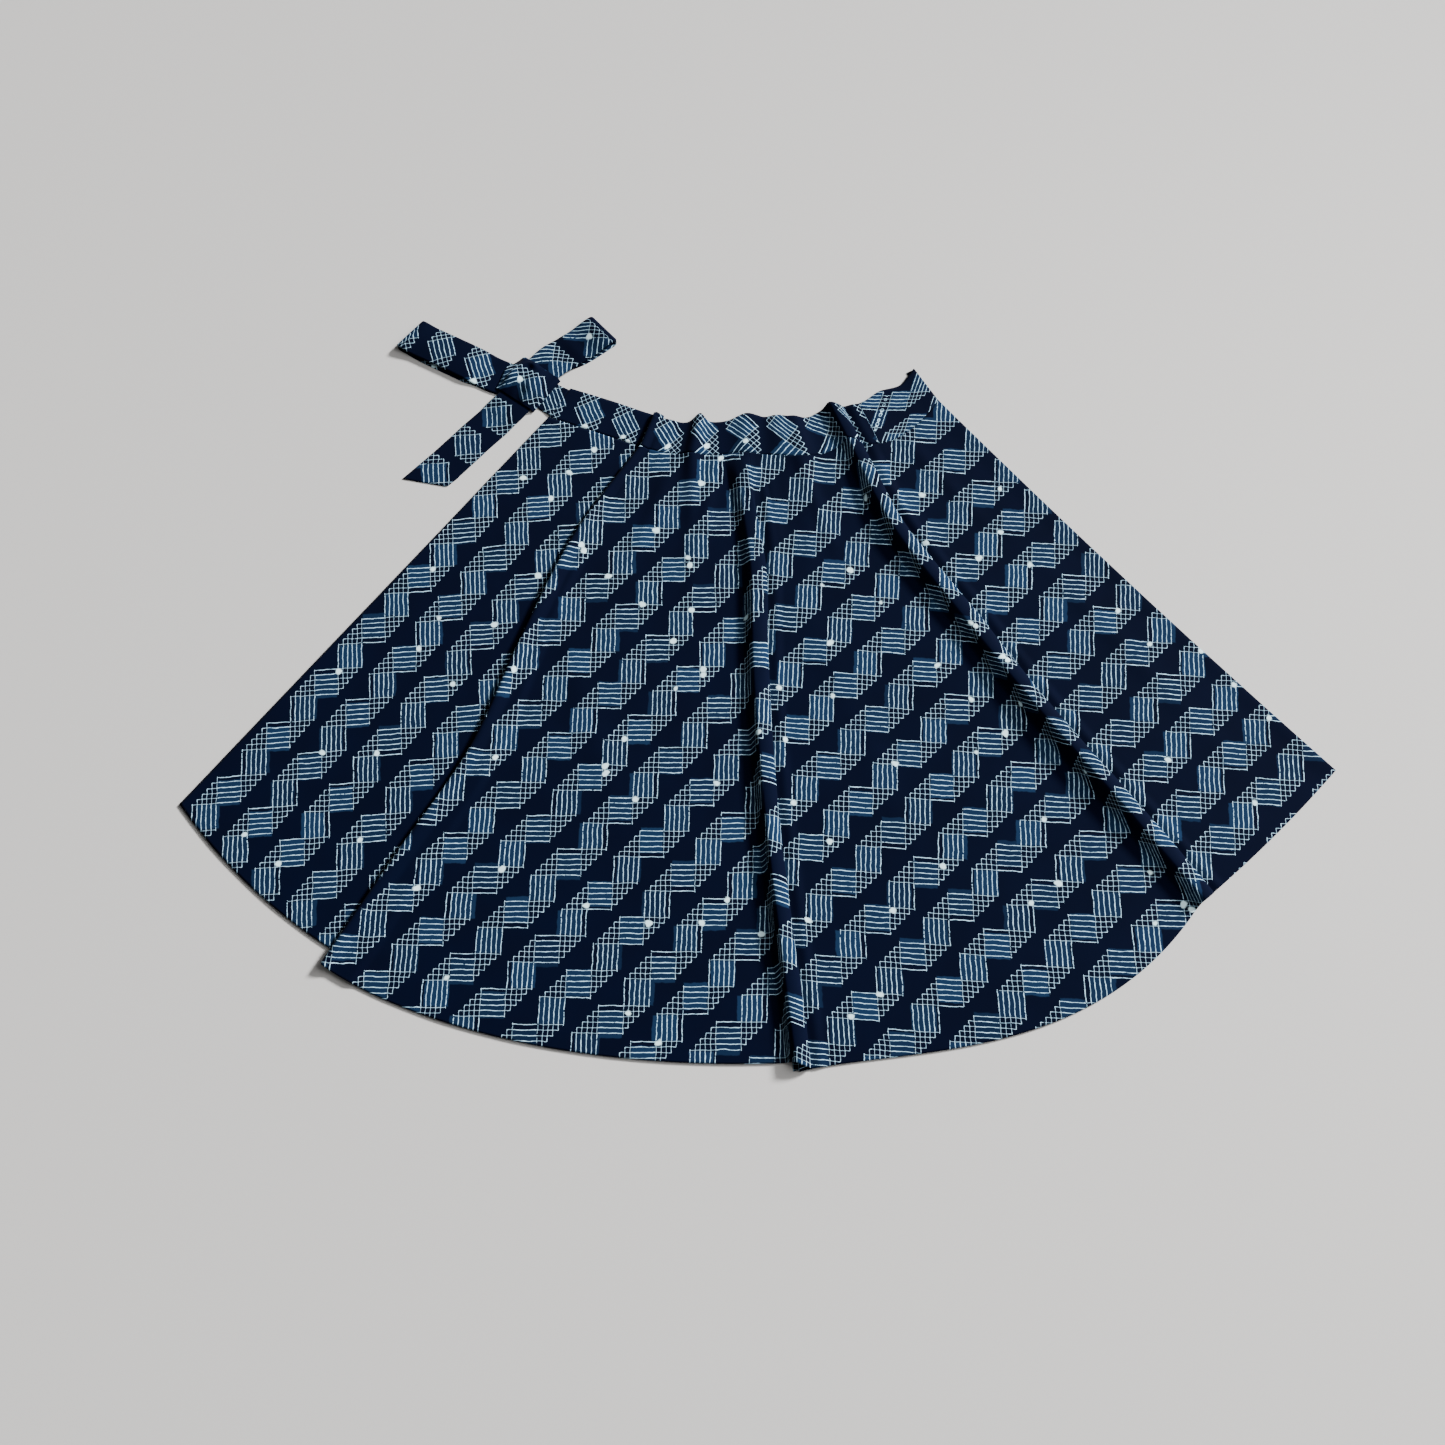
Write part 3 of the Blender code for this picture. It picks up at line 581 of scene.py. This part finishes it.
def side_turn(along, start_share):
    """Right side fold: the front rises a little, turns over and runs back under itself."""
    index = len(FOLDS)
    top = Z_BACK + 2 * SIDE_ROLL
    edge_share = 1.0 - SIDE_ROLL / row_length(index, along)
    start, end = panel_ends(index, along)
    outward = (end - start).normalized()
    centre = panel_plan(index, edge_share, along)
    entries = []

    def add(plan, height, unrolled):
        entries.append((plan, height, print_place(index, unrolled, along), 2 * index + 1.0))

    for part in parts(SIDE_POINTS):
        plan = panel_plan(index, mix(start_share, edge_share, part), along)
        add(plan, mix(Z_FRONT, top, ease(part)), plan)
    for part in parts(SIDE_POINTS, 1):
        angle = math.radians(90 - 180 * part)
        height = Z_BACK + SIDE_ROLL + SIDE_ROLL * math.sin(angle)
        unrolled = centre + outward * SIDE_ROLL * (math.pi / 2 - angle)
        add(centre + outward * SIDE_ROLL * math.cos(angle), height, unrolled)
    add(centre - outward * SIDE_UNDER, Z_BACK, centre + outward * (SIDE_ROLL * math.pi + SIDE_UNDER))
    return entries


# Mesh and material helpers


def add_object(name, data):
    thing = bpy.data.objects.new(name, data)
    bpy.context.scene.collection.objects.link(thing)
    return thing


def cloth_piece(name, rows, material, replaced):
    """A grid of (point, print place) entries as one sheet of cloth with an even thin wall."""
    mesh = bpy.data.meshes.new(name)
    grid = bmesh.new()
    printed = grid.loops.layers.uv.new("cloth")
    places = {}
    corners = []
    for row in rows:
        corners.append([])
        for point, place in row:
            corner = grid.verts.new(point)
            places[corner] = place
            corners[-1].append(corner)
    for upper, lower in zip(corners, corners[1:]):
        for left in range(len(upper) - 1):
            face = grid.faces.new((upper[left], lower[left], lower[left + 1], upper[left + 1]))
            for loop in face.loops:
                loop[printed].uv = places[loop.vert]
    grid.normal_update()
    grid.to_mesh(mesh)
    grid.free()
    mesh.shade_smooth()
    piece = add_object(name, mesh)
    mesh.materials.append(material)
    wall = piece.modifiers.new("wall", "SOLIDIFY")
    wall.thickness = SHELL
    wall.offset = 0.0
    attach(piece, "root")
    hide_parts(replaced)
    return piece


def sum_of(operation):
    return lambda field, *others: field.sum(operation, *others)


class Field:
    """A value that changes over the cloth, worked out in a material with plain sums."""

    def __init__(self, tree, socket):
        self.tree = tree
        self.socket = socket

    def sum(self, operation, *others, clamp=False):
        node = self.tree.nodes.new("ShaderNodeMath")
        node.operation = operation
        node.use_clamp = clamp
        for value, entry in zip((self, *others), node.inputs):
            join(self.tree, value, entry)
        return Field(self.tree, node.outputs[0])

    __add__ = sum_of("ADD")
    __sub__ = sum_of("SUBTRACT")
    __mul__ = sum_of("MULTIPLY")
    __truediv__ = sum_of("DIVIDE")
    floor = sum_of("FLOOR")
    round = sum_of("ROUND")
    root = sum_of("SQRT")
    size = sum_of("ABSOLUTE")
    above = sum_of("GREATER_THAN")
    below = sum_of("LESS_THAN")
    either = sum_of("MAXIMUM")

    def within(self, low, high):
        return self.above(low) * self.below(high)

    def soft_below(self, limit, softness):
        """1 well below the limit, 0 well above it, with a soft step between."""
        return ((self * -1 + limit) / softness + 0.5).sum("ADD", 0.0, clamp=True)


def join(tree, value, entry):
    if isinstance(value, Field):
        tree.links.new(value.socket, entry)
    elif isinstance(value, tuple):
        entry.default_value = (*value, 1.0)
    else:
        entry.default_value = value


def add_node(tree, kind, **entries):
    node = tree.nodes.new(kind)
    for label, value in entries.items():
        join(tree, value, node.inputs[label])
    return node


def split(place):
    """Parts of a place or of a colour."""
    node = add_node(place.tree, "ShaderNodeSeparateXYZ", Vector=place)
    return [Field(place.tree, output) for output in node.outputs]


def place_of(x, y, z=0.0):
    return Field(x.tree, add_node(x.tree, "ShaderNodeCombineXYZ", X=x, Y=y, Z=z).outputs[0])


def noise_of(place, scale, detail=1.0, roughness=0.5, output="Fac"):
    """Noise from 0 to 1."""
    entries = dict(Vector=place, Scale=scale, Detail=detail, Roughness=roughness)
    return Field(place.tree, add_node(place.tree, "ShaderNodeTexNoise", **entries).outputs[output])


def chance_of(first, second, seed):
    """Even random numbers that are the same all over one cell of the print."""
    node = add_node(first.tree, "ShaderNodeTexWhiteNoise", Vector=place_of(first, second, seed))
    return split(Field(first.tree, node.outputs["Color"]))


def new_group(name, make, inputs, results):
    """A group of nodes in which make turns the inputs, given with their kinds, into the results."""
    tree = bpy.data.node_groups.new(name, "ShaderNodeTree")
    for label, kind in inputs.items():
        tree.interface.new_socket(name=label, in_out="INPUT", socket_type=kind)
    for label in results:
        tree.interface.new_socket(name=label, in_out="OUTPUT", socket_type="NodeSocketFloat")
    given = tree.nodes.new("NodeGroupInput").outputs
    made = make(*(Field(tree, given[label]) for label in inputs))
    for value, entry in zip(made, tree.nodes.new("NodeGroupOutput").inputs):
        join(tree, value, entry)
    return tree


def use_group(tree, group, entries):
    """Results of a group that is placed in a material with that material's own values."""
    node = tree.nodes.new("ShaderNodeGroup")
    node.node_tree = group
    for label, value in entries.items():
        join(tree, value, node.inputs[label])
    return [Field(tree, output) for output in node.outputs]


def new_material(name):
    material = bpy.data.materials.new(name)
    material.use_nodes = True
    return material, material.node_tree, material.node_tree.nodes["Principled BSDF"].inputs


def blend_colours(share, first, second):
    node = share.tree.nodes.new("ShaderNodeMix")
    node.data_type = "RGBA"
    for label, value in (("Factor", share), ("A", first), ("B", second)):
        join(share.tree, value, node.inputs[label])
    return Field(share.tree, node.outputs["Result"])


def make_print(cloth, line_width):
    """Resist print in zigzag bands: squares of lines, upright and level in turn, joined by crossed lines."""
    # Hand-drawn waver of the lines
    slow = split(noise_of(cloth, WAVER_SCALE, output="Color"))
    quick = split(noise_of(cloth, JITTER_SCALE, output="Color"))
    spot = split(cloth)
    moved = []
    for axis in range(2):
        strayed = spot[axis] + (slow[axis] - 0.5) * WAVER + (quick[axis] - 0.5) * JITTER
        moved.append(strayed / CELL[axis])
    across = ((moved[0] - moved[1]) / (BAND_STEP[0] + BAND_STEP[1])).round()
    level = moved[1] + across * BAND_STEP[1]
    sideways = moved[0] - across * BAND_STEP[0]
    repeat = ((level - 0.5) / 2).floor()
    y = level - repeat * 2
    x = sideways - repeat * 2

    # Which part of the zigzag a point is in
    level_row = y.within(1 - SLACK, 2 + SLACK)
    column, column_line = (x * SPACES).floor(), (x * SPACES).round()
    order = (y * SPACES).floor().either(SPACES).sum("MINIMUM", 2 * SPACES - 1)
    order_line = (y * SPACES).round()
    upright_band = (column_line - order).within(0.5 - SPACES, SPACES + 0.5)
    level_band = (column - order_line).within(-SPACES - 0.5, SPACES - 0.5)
    low_square = y.below(1 + SLACK) * x.within(-SLACK, 1 + SLACK)
    high_square = y.above(2 - SLACK) * x.within(2 - SLACK, 3 + SLACK)
    beside_level = x.within(1 + SLACK, 2 - SLACK) * -1 + 1
    upright_zone = low_square.either(high_square).either(level_row * upright_band * beside_level)
    level_zone = level_row * level_band

    # Lines of the squares and of the lattice between them
    thick = noise_of(cloth, THICK_SCALE, 2.0)
    crossed = upright_zone * level_zone
    half = line_width * (thick * LINE_UNEVEN[0] + LINE_UNEVEN[1]) * (crossed * LATTICE_THIN + 1)
    upright_gap = (x * SPACES - column_line).size() * (CELL[0] / SPACES)
    level_gap = (y * SPACES - order_line).size() * (CELL[1] / SPACES)
    upright = (upright_gap - half).soft_below(0.0, LINE_EDGE) * upright_zone
    level_line = (level_gap - half).soft_below(0.0, LINE_EDGE) * level_zone
    knots = (upright_gap * upright_gap + level_gap * level_gap).root()
    knots = (knots - half - KNOT_DROP_SIZE).soft_below(0.0, LINE_EDGE) * crossed
    broken = noise_of(cloth, BREAK_SCALE)
    border = ((x - x.round()).size() - BORDER_HALF).soft_below(0.0, BORDER_EDGE)
    whole = (broken * -1 + border * BORDER_BROKEN).soft_below(-LINE_BROKEN, LINE_BROKEN_EDGE)
    lines = upright.either(level_line) * (crossed * LATTICE_PALE + 1)
    lines = lines.either(knots) * whole

    # Blue brushed into the squares, a little off their middles
    ragged = noise_of(cloth, RAGGED_SCALE, 2.0)

    def brushed(across_lines, along_lines, chance):
        loose = (across_lines - (chance[0] - 0.5) * FILL_STRAY[0]).size() - FILL_HALF[0]
        firm = (along_lines - (chance[1] - 0.5) * FILL_STRAY[1]).size() - FILL_HALF[1]
        edge = loose.either(firm) + (ragged - 0.5) * FILL_RAGGED
        return edge.soft_below(0.0, FILL_EDGE) * (chance[2] * (1 - FILL_FAINTEST) + FILL_FAINTEST)

    second = y.above(1.5)
    fill = brushed(x - second * 2 - 0.5, y - second * 2 - 0.5, chance_of(across, repeat + second, 1.0))
    fill = fill.either(brushed(y - 1.5, x - 1.5, chance_of(across, repeat, 2.0)))

    # Drops of resist
    blobs = None
    for row in DROPS:
        chance = chance_of(across, repeat, row["seed"])
        away_x = (x - row["place"][0] - (chance[1] - 0.5) * DROP_STRAY) * (CELL[0] / CELL[1])
        away_y = y - row["place"][1] - (chance[2] - 0.5) * DROP_STRAY
        distance = (away_x * away_x + away_y * away_y).root() + (ragged - 0.5) * DROP_RAGGED
        drop = (distance - row["radius"]).soft_below(0.0, DROP_EDGE) * chance[0].below(row["share"])
        blobs = drop if blobs is None else blobs.either(drop)

    return lines, fill, blobs, noise_of(cloth, SHADE_SCALE, 3.0, 0.6)


def make_weave(cloth):
    """Height of a plain weave with slubs."""
    x, y, _ = split(cloth)
    warp = noise_of(place_of(x * THREADS, y * SLUBS), 1.0, 2.0)
    weft = noise_of(place_of(x * SLUBS, y * THREADS), 1.0, 2.0)
    return [warp * 0.5 + weft * 0.5]


def make_cotton(name, block_print, weave):
    """Indigo cotton with the resist print."""
    material, tree, surface = new_material(name)
    map_node = tree.nodes.new("ShaderNodeUVMap")
    map_node.uv_map = "cloth"
    cloth = Field(tree, map_node.outputs["UV"])
    lines, fill, blobs, shade = use_group(tree, block_print, {"Cloth": cloth, "Line Width": LINE_WIDTH})
    darkest, lightest = (tuple(share * value for value in NAVY) for share in GROUND_SHADES)
    filled = blend_colours(fill, blend_colours(shade, darkest, lightest), FILL_BLUE)
    lined = blend_colours(lines * LINE_COVER, filled, RESIST_WHITE)
    colour = blend_colours(blobs, lined, BLOB_WHITE)
    height = use_group(tree, weave, {"Cloth": cloth})[0]
    bump = add_node(tree, "ShaderNodeBump", Height=height, **WEAVE_BUMP)
    entries = {"Base Color": colour, "Normal": Field(tree, bump.outputs["Normal"]), **COTTON_SURFACE}
    for label, value in entries.items():
        join(tree, value, surface[label])
    return material


# Panels

def make_front_strips(material):
    """The front panel in four strips that meet at the tucked edges of its folds."""
    rows = [(along, front_row(along)) for along in parts(PANEL_ROWS)]
    pieces = []
    for index in range(len(PANELS)):
        grid = []
        for along, row in rows:
            grid.append([])
            for plan, height, place, _ in row[index]:
                on_top = height > Z_FRONT - 1e-6
                rise = gather_height(plan, along) + (crease_height(plan) if on_top else 0.0)
                grid[-1].append((raised(plan, height + rise), place))
        name = f"front_cloth_{index + 1}"
        pieces.append(cloth_piece(name, grid, material, "front_panel"))
    return pieces


def back_shares(index, along):
    """Even places along a row of the back panel, which ends a little inside the front's outline."""
    length = row_length(index, along)
    first = BACK_INSET / length if index == 0 else 0.0
    last = 1.0 - (SIDE_ROLL + SIDE_UNDER + GAP) / length if index == len(FOLDS) else 1.0
    return [(part, mix(first, last, part)) for part in parts(BACK_COLUMNS)]


def make_back_strips(material):
    pieces = []
    for index in range(len(PANELS)):
        grid = []
        for part in parts(BACK_ROWS):
            along = part * (1 - BACK_INSET / PANEL_LENGTH)
            plans = [panel_plan(index, share, along) for _, share in back_shares(index, along)]
            grid.append([(raised(plan, Z_BACK), print_place(index, plan, along)) for plan in plans])
        name = f"back_cloth_{index + 1}"
        pieces.append(cloth_piece(name, grid, material, "back_panel"))
    return pieces


# Strips that the waistband and ties are cut from: their length runs across the zigzag bands of the print
NEXT_BAND = Vector((CELL[0] * BAND_STEP[0], -CELL[1] * BAND_STEP[1]))
STRIP_AXIS = NEXT_BAND.normalized()
STRIP_UP = Vector((-STRIP_AXIS.y, STRIP_AXIS.x))
UPRIGHT_MIDDLE, LEVEL_MIDDLE, JUNCTION = Vector(CELL) * 0.5, Vector(CELL) * 1.5, Vector(CELL) * 2


def strip_place(origin, run, rise):
    """Place on the printed cloth of a strip: run along it and rise across it, from a point of the print."""
    return origin + STRIP_AXIS * run + STRIP_UP * rise


# Waistband

def band_up(place):
    panel = min(int(place / 2), len(FOLDS))
    lean = mix(BAND_LEAN[panel], BAND_LEAN[panel + 1], min(place - 2 * panel, 1.0))
    return Vector((lean, 1.0)).normalized()


# How far the print slides down the band and along it, and along the strap
BAND_DRIFT = (0.0, 0.0, -0.006, -0.014, -0.020, -0.024, -0.025, -0.025)
BAND_SLIDE = (0.013, 0.013, 0.028, 0.028, 0.026, 0.010, 0.010, 0.010)
BAND_RUN = 0.013
BAND_STRETCH = 1.06  # how much closer the print lies along the band
# Right end of the band, where the print lies mirrored at both sides of a crease: first place, centre, where
# the crease falls in the print's cell, its lean, how much closer the print lies, and the repeats before it
BAND_END = dict(place=6.01, centre=(0.1969, 0.4283), crease=0.74, lean=0.33, closer=1.2, repeats=10)


def band_end_place(plan):
    aside = plan - Vector(BAND_END["centre"])
    along = abs(aside.x - BAND_END["lean"] * aside.y) * BAND_END["closer"]
    beside = Vector((CELL[0] * BAND_END["crease"] + along, LEVEL_MIDDLE.y + aside.y * BAND_END["closer"]))
    return NEXT_BAND * BAND_END["repeats"] + beside


def band_entries():
    """Front row at the waist seam with its folds, as (plan, height, place, run along the cloth)."""
    entries = []
    run = 0.0
    for strip in front_row(0.0):
        for plan, height, _, place in strip:
            height += gather_height(plan, 0.0)
            if entries:
                run += math.hypot((plan - entries[-1][0]).length, height - entries[-1][1])
            entries.append((plan, height, place, run))
    return entries


def band_point(entry, share):
    plan, height, place, _ = entry
    rise = at_station(BAND_RISE, place / PLACES)
    for middle, half, _, lift, _ in GATHERS:
        rise += lift * math.exp(-(((plan.x - middle) / half) ** 2))
    moved = plan + band_up(place) * mix(SEAM, rise, share)
    return raised(moved, height), rise


def make_waistband_front(material):
    entries = band_entries()
    grid = []
    for part in parts(BAND_ROWS):
        share = 1 - part
        grid.append([])
        for entry in entries:
            _, _, place, run = entry
            point, rise = band_point(entry, share)
            up = share * rise - TIE_WIDTH / 2 + at_station(BAND_DRIFT, place / PLACES)
            ahead = run * BAND_STRETCH + at_station(BAND_SLIDE, place / PLACES)
            printed = strip_place(UPRIGHT_MIDDLE, ahead, up)
            if place > BAND_END["place"]:
                printed = band_end_place(point.xy)
            grid[-1].append((point, printed))
    return cloth_piece("waistband_cloth", grid, material, "waistband_front")


def make_waistband_back(material):
    waist = []
    run = 0.0
    for index in range(len(PANELS)):
        for part, share in back_shares(index, 0.0):
            if index and part == 0.0:
                continue
            plan = panel_plan(index, share, 0.0)
            if waist:
                run += (plan - waist[-1][0]).length
            waist.append((plan, 2 * index + part, run))
    grid = []
    for part in parts(BACK_BAND_ROWS):
        share = 1 - part
        grid.append([])
        for plan, place, run in waist:
            moved = plan + band_up(place) * mix(GAP, BACK_BAND_RISE, share)
            printed = strip_place(UPRIGHT_MIDDLE, run, (share - 0.5) * BACK_BAND_RISE)
            grid[-1].append((raised(moved, Z_BACK), printed))
    return cloth_piece("waistband_back_cloth", grid, material, "waistband_back")


# Ties and bow

def path_length(places):
    return sum((after - before).length for before, after in zip(places, places[1:]))


def line_length(line):
    return path_length([Vector(stop) for stop in line])


def line_place(line, share):
    stops = [Vector(stop) for stop in line]
    first_length = (stops[1] - stops[0]).length
    first = (stops[1] - stops[0]).normalized()
    second = (stops[2] - stops[1]).normalized()

    def on_line(distance):
        if distance < first_length:
            return stops[0] + first * distance
        return stops[1] + second * (distance - first_length)

    distance = share * line_length(line)
    around = [on_line(distance + step * TIE_CORNER / 3) for step in range(-3, 4)]
    return sum(around, Vector((0, 0))) / len(around), (around[-1] - around[0]).normalized()


def tie_row(line, share, height, run, printed, crown=0.0, shift=0.0, skew=0.0):
    """A row of entries across a tie; printed turns run and side into a place on the print.

    Crown: rise of its middle; shift: how far it lies to its right; skew: how far its right edge runs ahead.
    """
    length = line_length(line)
    centre, direction = line_place(line, share)
    across = Vector((direction.y, -direction.x))
    grip = ease(share * length / PINCH_LENGTH)
    half = mix(TIE_PINCH, TIE_WIDTH, grip) / 2
    wander = TIE_WANDER * noise.noise(Vector((run * 30, length * 50, 0.3)))
    to_end = (1 - share) * length
    corner = TIE_ROUND - math.sqrt(max(TIE_ROUND ** 2 - max(TIE_ROUND - to_end, 0.0) ** 2, 0.0))
    row = []
    for column in range(TIE_COLUMNS):
        side = 2 * column / (TIE_COLUMNS - 1) - 1
        ahead = skew * side * ease(share)
        plan = centre + across * (side * (half - corner * (skew != 0.0)) + shift + wander) + direction * ahead
        rise = crown * (1 - side ** 2)
        row.append((raised(plan, height + rise), printed(run, side * TIE_WIDTH / 2)))
    return row


def rise_over(distance, rise):
    return rise * (1 - ease((distance - CLIMB_START) / CLIMB_LENGTH))


def make_loop(node, line, grip, rise, shape, printed, material):
    """Two layers of a tie joined at a rolled end."""
    length = line_length(line)
    roll, puff, skew, shift = shape["roll"], shape["puff"], shape["skew"], shape["shift"]
    rows = []
    for part in parts(LOOP_STEPS - 1):
        share = mix(grip / length, 1 - LOOP_FLAT * roll / length, part)
        height = Z_BACK + rise_over(share * length, rise)
        slid = shift * ease((share * length - PUFF_START) / PUFF_LENGTH)
        slid *= ease((1 - share) * length / LOOP_SLIDE_END)
        rows.append(tie_row(line, share, height, 2 * length - share * length, printed, shift=slid, skew=skew))
    for part in parts(TURN_STEPS):
        angle = math.pi * (part - 0.5)
        share = 1 - (roll - roll * math.cos(angle)) / length
        height = Z_BACK + roll + roll * math.sin(angle)
        run = length + roll * (math.pi / 2 - angle)
        rows.append(tie_row(line, share, height, run, printed, skew=skew))
    for part in parts(LOOP_STEPS, 1):
        share = mix(1 - roll / length, grip / length, part)
        settled = ease(((1 - share) * length - roll) / (LOOP_SETTLE * roll))
        free = ease((share * length - PUFF_START) / PUFF_LENGTH)
        height = Z_BACK + PITCH + rise_over(share * length, rise)
        height += (2 * roll - PITCH) * (1 - settled)
        height += puff * free * settled
        rows.append(tie_row(line, share, height, share * length, printed, LOOP_CROWN * free, skew=skew))
    return cloth_piece(f"{node}_cloth", rows, material, node)


def make_tail(rise, printed, material):
    length = line_length(TAIL_LINE)
    rows = []
    for part in parts(LOOP_STEPS - 1):
        share = mix(GRIP_TAIL / length, TAIL_SQUARE, part)
        height = Z_BACK + rise_over(share * length, rise)
        rows.append(tie_row(TAIL_LINE, share, height, share * length, printed))
    heel, toe, point = (Vector(corner) for corner in TAIL_CUT)
    centre, direction = line_place(TAIL_LINE, TAIL_SQUARE)
    across = Vector((direction.y, -direction.x))
    square = [entry[0] for entry in rows[-1]]
    for share in parts(TAIL_STEPS, 1):
        row = []
        for start, part in zip(square, parts(TIE_COLUMNS - 1)):
            if part < TAIL_TOE:
                end = heel.lerp(toe, part / TAIL_TOE)
            else:
                end = toe.lerp(point, (part - TAIL_TOE) / (1 - TAIL_TOE))
            plan = start.xy.lerp(end, share)
            offset = plan - centre
            run = TAIL_SQUARE * length + offset.dot(direction)
            row.append((raised(plan, Z_BACK), printed(run, offset.dot(across))))
        rows.append(row)
    return cloth_piece("tie_tail_cloth", rows, material, "tie_tail")


def make_strap(material):
    entries = band_entries()
    lower, upper = (band_point(entries[0], share)[0] for share in (STRAP_EDGE, 1 - STRAP_EDGE))
    into = (band_point(entries[1], 0.5)[0] - band_point(entries[0], 0.5)[0]).normalized()
    knot = Vector((*KNOT, Z_BACK))
    middle = (lower + upper) / 2
    away = Vector((middle.x - knot.x, middle.y - knot.y, 0)).normalized()
    across = Vector((-away.y, away.x, 0))
    inner = knot + away * GRIP_STRAP
    rows = []
    for part in parts(STRAP_ROWS):
        start = (inner - across * TIE_PINCH / 2).lerp(lower - into * GAP, part)
        end = (inner + across * TIE_PINCH / 2).lerp(upper - into * GAP, part)
        height = mix(Z_BACK, Z_FRONT, ease((part - STRAP_RISE) / (1 - STRAP_RISE)))
        run = ((start + end) / 2 - middle).dot(away)
        row = []
        for side in parts(TIE_COLUMNS - 1):
            printed = strip_place(UPRIGHT_MIDDLE, run + BAND_RUN, (side - 0.5) * TIE_WIDTH)
            row.append((raised(start.lerp(end, side), height), printed))
        rows.append(row[::-1])
    return cloth_piece("tie_strap_cloth", rows, material, "tie_strap")


def make_knot(tail_top, loop_top, left_top, right_top, printed, material):
    centre = Vector(KNOT)
    axis = (Vector(LOOP_RIGHT_LINE[1]) - Vector(TAIL_LINE[1])).normalized()
    across = Vector((axis.y, -axis.x))
    clear = GAP + WALL / 2
    rows = []
    for step in parts(KNOT_STEPS):
        part = 2 * step - 1
        distance = part * KNOT_HALF_LENGTH
        ridge = mix(tail_top, loop_top, ease((distance + KNOT_RAMP) / KNOT_RAMP_LENGTH)) + clear
        row = []
        for column in parts(KNOT_STEPS):
            side = 2 * column - 1
            bulge = KNOT_BULGE * math.exp(-((distance / KNOT_BULGE_REACH) ** 2))
            half = KNOT_HALF_WIDTH + (bulge if side < 0 else 0.0)
            plan = centre + axis * distance + across * side * half
            inside = 1 - ease((abs(side) * half - KNOT_SHOULDER) / KNOT_DROP)
            dome = KNOT_DOME * (1 - part ** 2) * (1 - abs(side) ** 3)
            foot = (left_top if side < 0 else right_top) + clear
            height = mix(foot, ridge, inside) + dome
            crease = 0.0
            for crease_side, turn, depth in KNOT_CREASES:
                beside = (side - crease_side - turn * part) / KNOT_CREASE_HALF
                crease += depth * math.exp(-beside ** 2) * (1 - part ** 4) * inside
            tuft_along = (distance - KNOT_PINCH["along"]) / KNOT_PINCH["half_along"]
            tuft_side = (side - KNOT_PINCH["side"]) / KNOT_PINCH["half_side"]
            height += crease + KNOT_PINCH["height"] * math.exp(-tuft_along ** 2 - tuft_side ** 2)
            row.append((raised(plan, height), printed(-distance, KNOT_PRINT - side * half)))
        rows.append(row)
    return cloth_piece("bow_knot_cloth", rows, material, "bow_knot")


# Stage

def make_stage():
    mesh = bpy.data.meshes.new("floor")
    corners = [(FLOOR_HALF * x, FLOOR_HALF * y, 0) for x, y in ((-1, -1), (1, -1), (1, 1), (-1, 1))]
    mesh.from_pydata(corners, [], [(0, 1, 2, 3)])
    floor = add_object("floor", mesh)
    floor.location.z = -FLOOR_DROP
    material, tree, surface = new_material("pale_floor")
    join(tree, FLOOR_GREY, surface["Base Color"])
    join(tree, FLOOR_ROUGHNESS, surface["Roughness"])
    mesh.materials.append(material)

    world = bpy.data.worlds.new("room")
    world.use_nodes = True
    glow = world.node_tree.nodes["Background"].inputs
    glow["Color"].default_value = (1.0, 1.0, 1.0, 1.0)
    glow["Strength"].default_value = ROOM_LIGHT
    bpy.context.scene.world = world

    for row in LIGHTS:
        light = bpy.data.lights.new(row["name"], row["kind"])
        light.energy = row["power"]
        if row["kind"] == "SUN":
            light.angle = SUN_SPREAD
        else:
            light.size = AREA_SIZE
        lamp = add_object(row["name"], light)
        lamp.location = row["place"]
        aim = Vector(LIGHT_AIM) - Vector(row["place"])
        lamp.rotation_euler = aim.to_track_quat("-Z", "Y").to_euler()


def make_camera():
    data = bpy.data.cameras.new("camera")
    data.lens = CAMERA_LENS
    data.sensor_width = CAMERA_SENSOR
    camera = add_object("camera", data)
    camera.location = CAMERA_PLACE
    camera.rotation_euler = (CAMERA_TILT, 0, 0)
    bpy.context.scene.camera = camera


def from_knot(origin, start, flip):
    """Print of a tie: run counts from the knot, side to the right looking out from it."""
    way = -1 if flip else 1
    return lambda run, side: strip_place(origin, way * (run - start), -way * side)


def main():
    make_camera()
    make_stage()
    cloth = {"Cloth": "NodeSocketVector"}
    line = {"Line Width": "NodeSocketFloat"}
    block_print = new_group("block_print", make_print, cloth | line, ("Lines", "Fill", "Blobs", "Shade"))
    weave = new_group("cotton_weave", make_weave, cloth, ("Height",))
    cotton = make_cotton("printed_cotton_front", block_print, weave)
    cotton_back = make_cotton("printed_cotton_reverse", block_print, weave)
    pieces = make_front_strips(cotton)
    pieces += make_back_strips(cotton_back)
    pieces.append(make_waistband_front(cotton))
    pieces.append(make_waistband_back(cotton_back))
    lower_top = Z_BACK + PITCH + WALL / 2
    climb = lower_top + GAP
    pieces.append(make_strap(cotton))
    pieces.append(make_loop(
        "bow_loop_left", LOOP_LEFT_LINE, GRIP_STRAP, 0.0, LOOP_LEFT_SHAPE,
        from_knot(UPRIGHT_MIDDLE, LOOP_LEFT_PRINT, True), cotton))
    pieces.append(make_loop(
        "bow_loop_right", LOOP_RIGHT_LINE, GRIP_TAIL, climb, LOOP_RIGHT_SHAPE,
        from_knot(JUNCTION, LOOP_RIGHT_PRINT, False), cotton))
    tail_print = from_knot(LEVEL_MIDDLE, TAIL_PRINT, True)
    pieces.append(make_tail(climb, tail_print, cotton))
    pieces.append(make_knot(climb + WALL, climb + WALL + PITCH, lower_top, WALL, tail_print, cotton))


main()
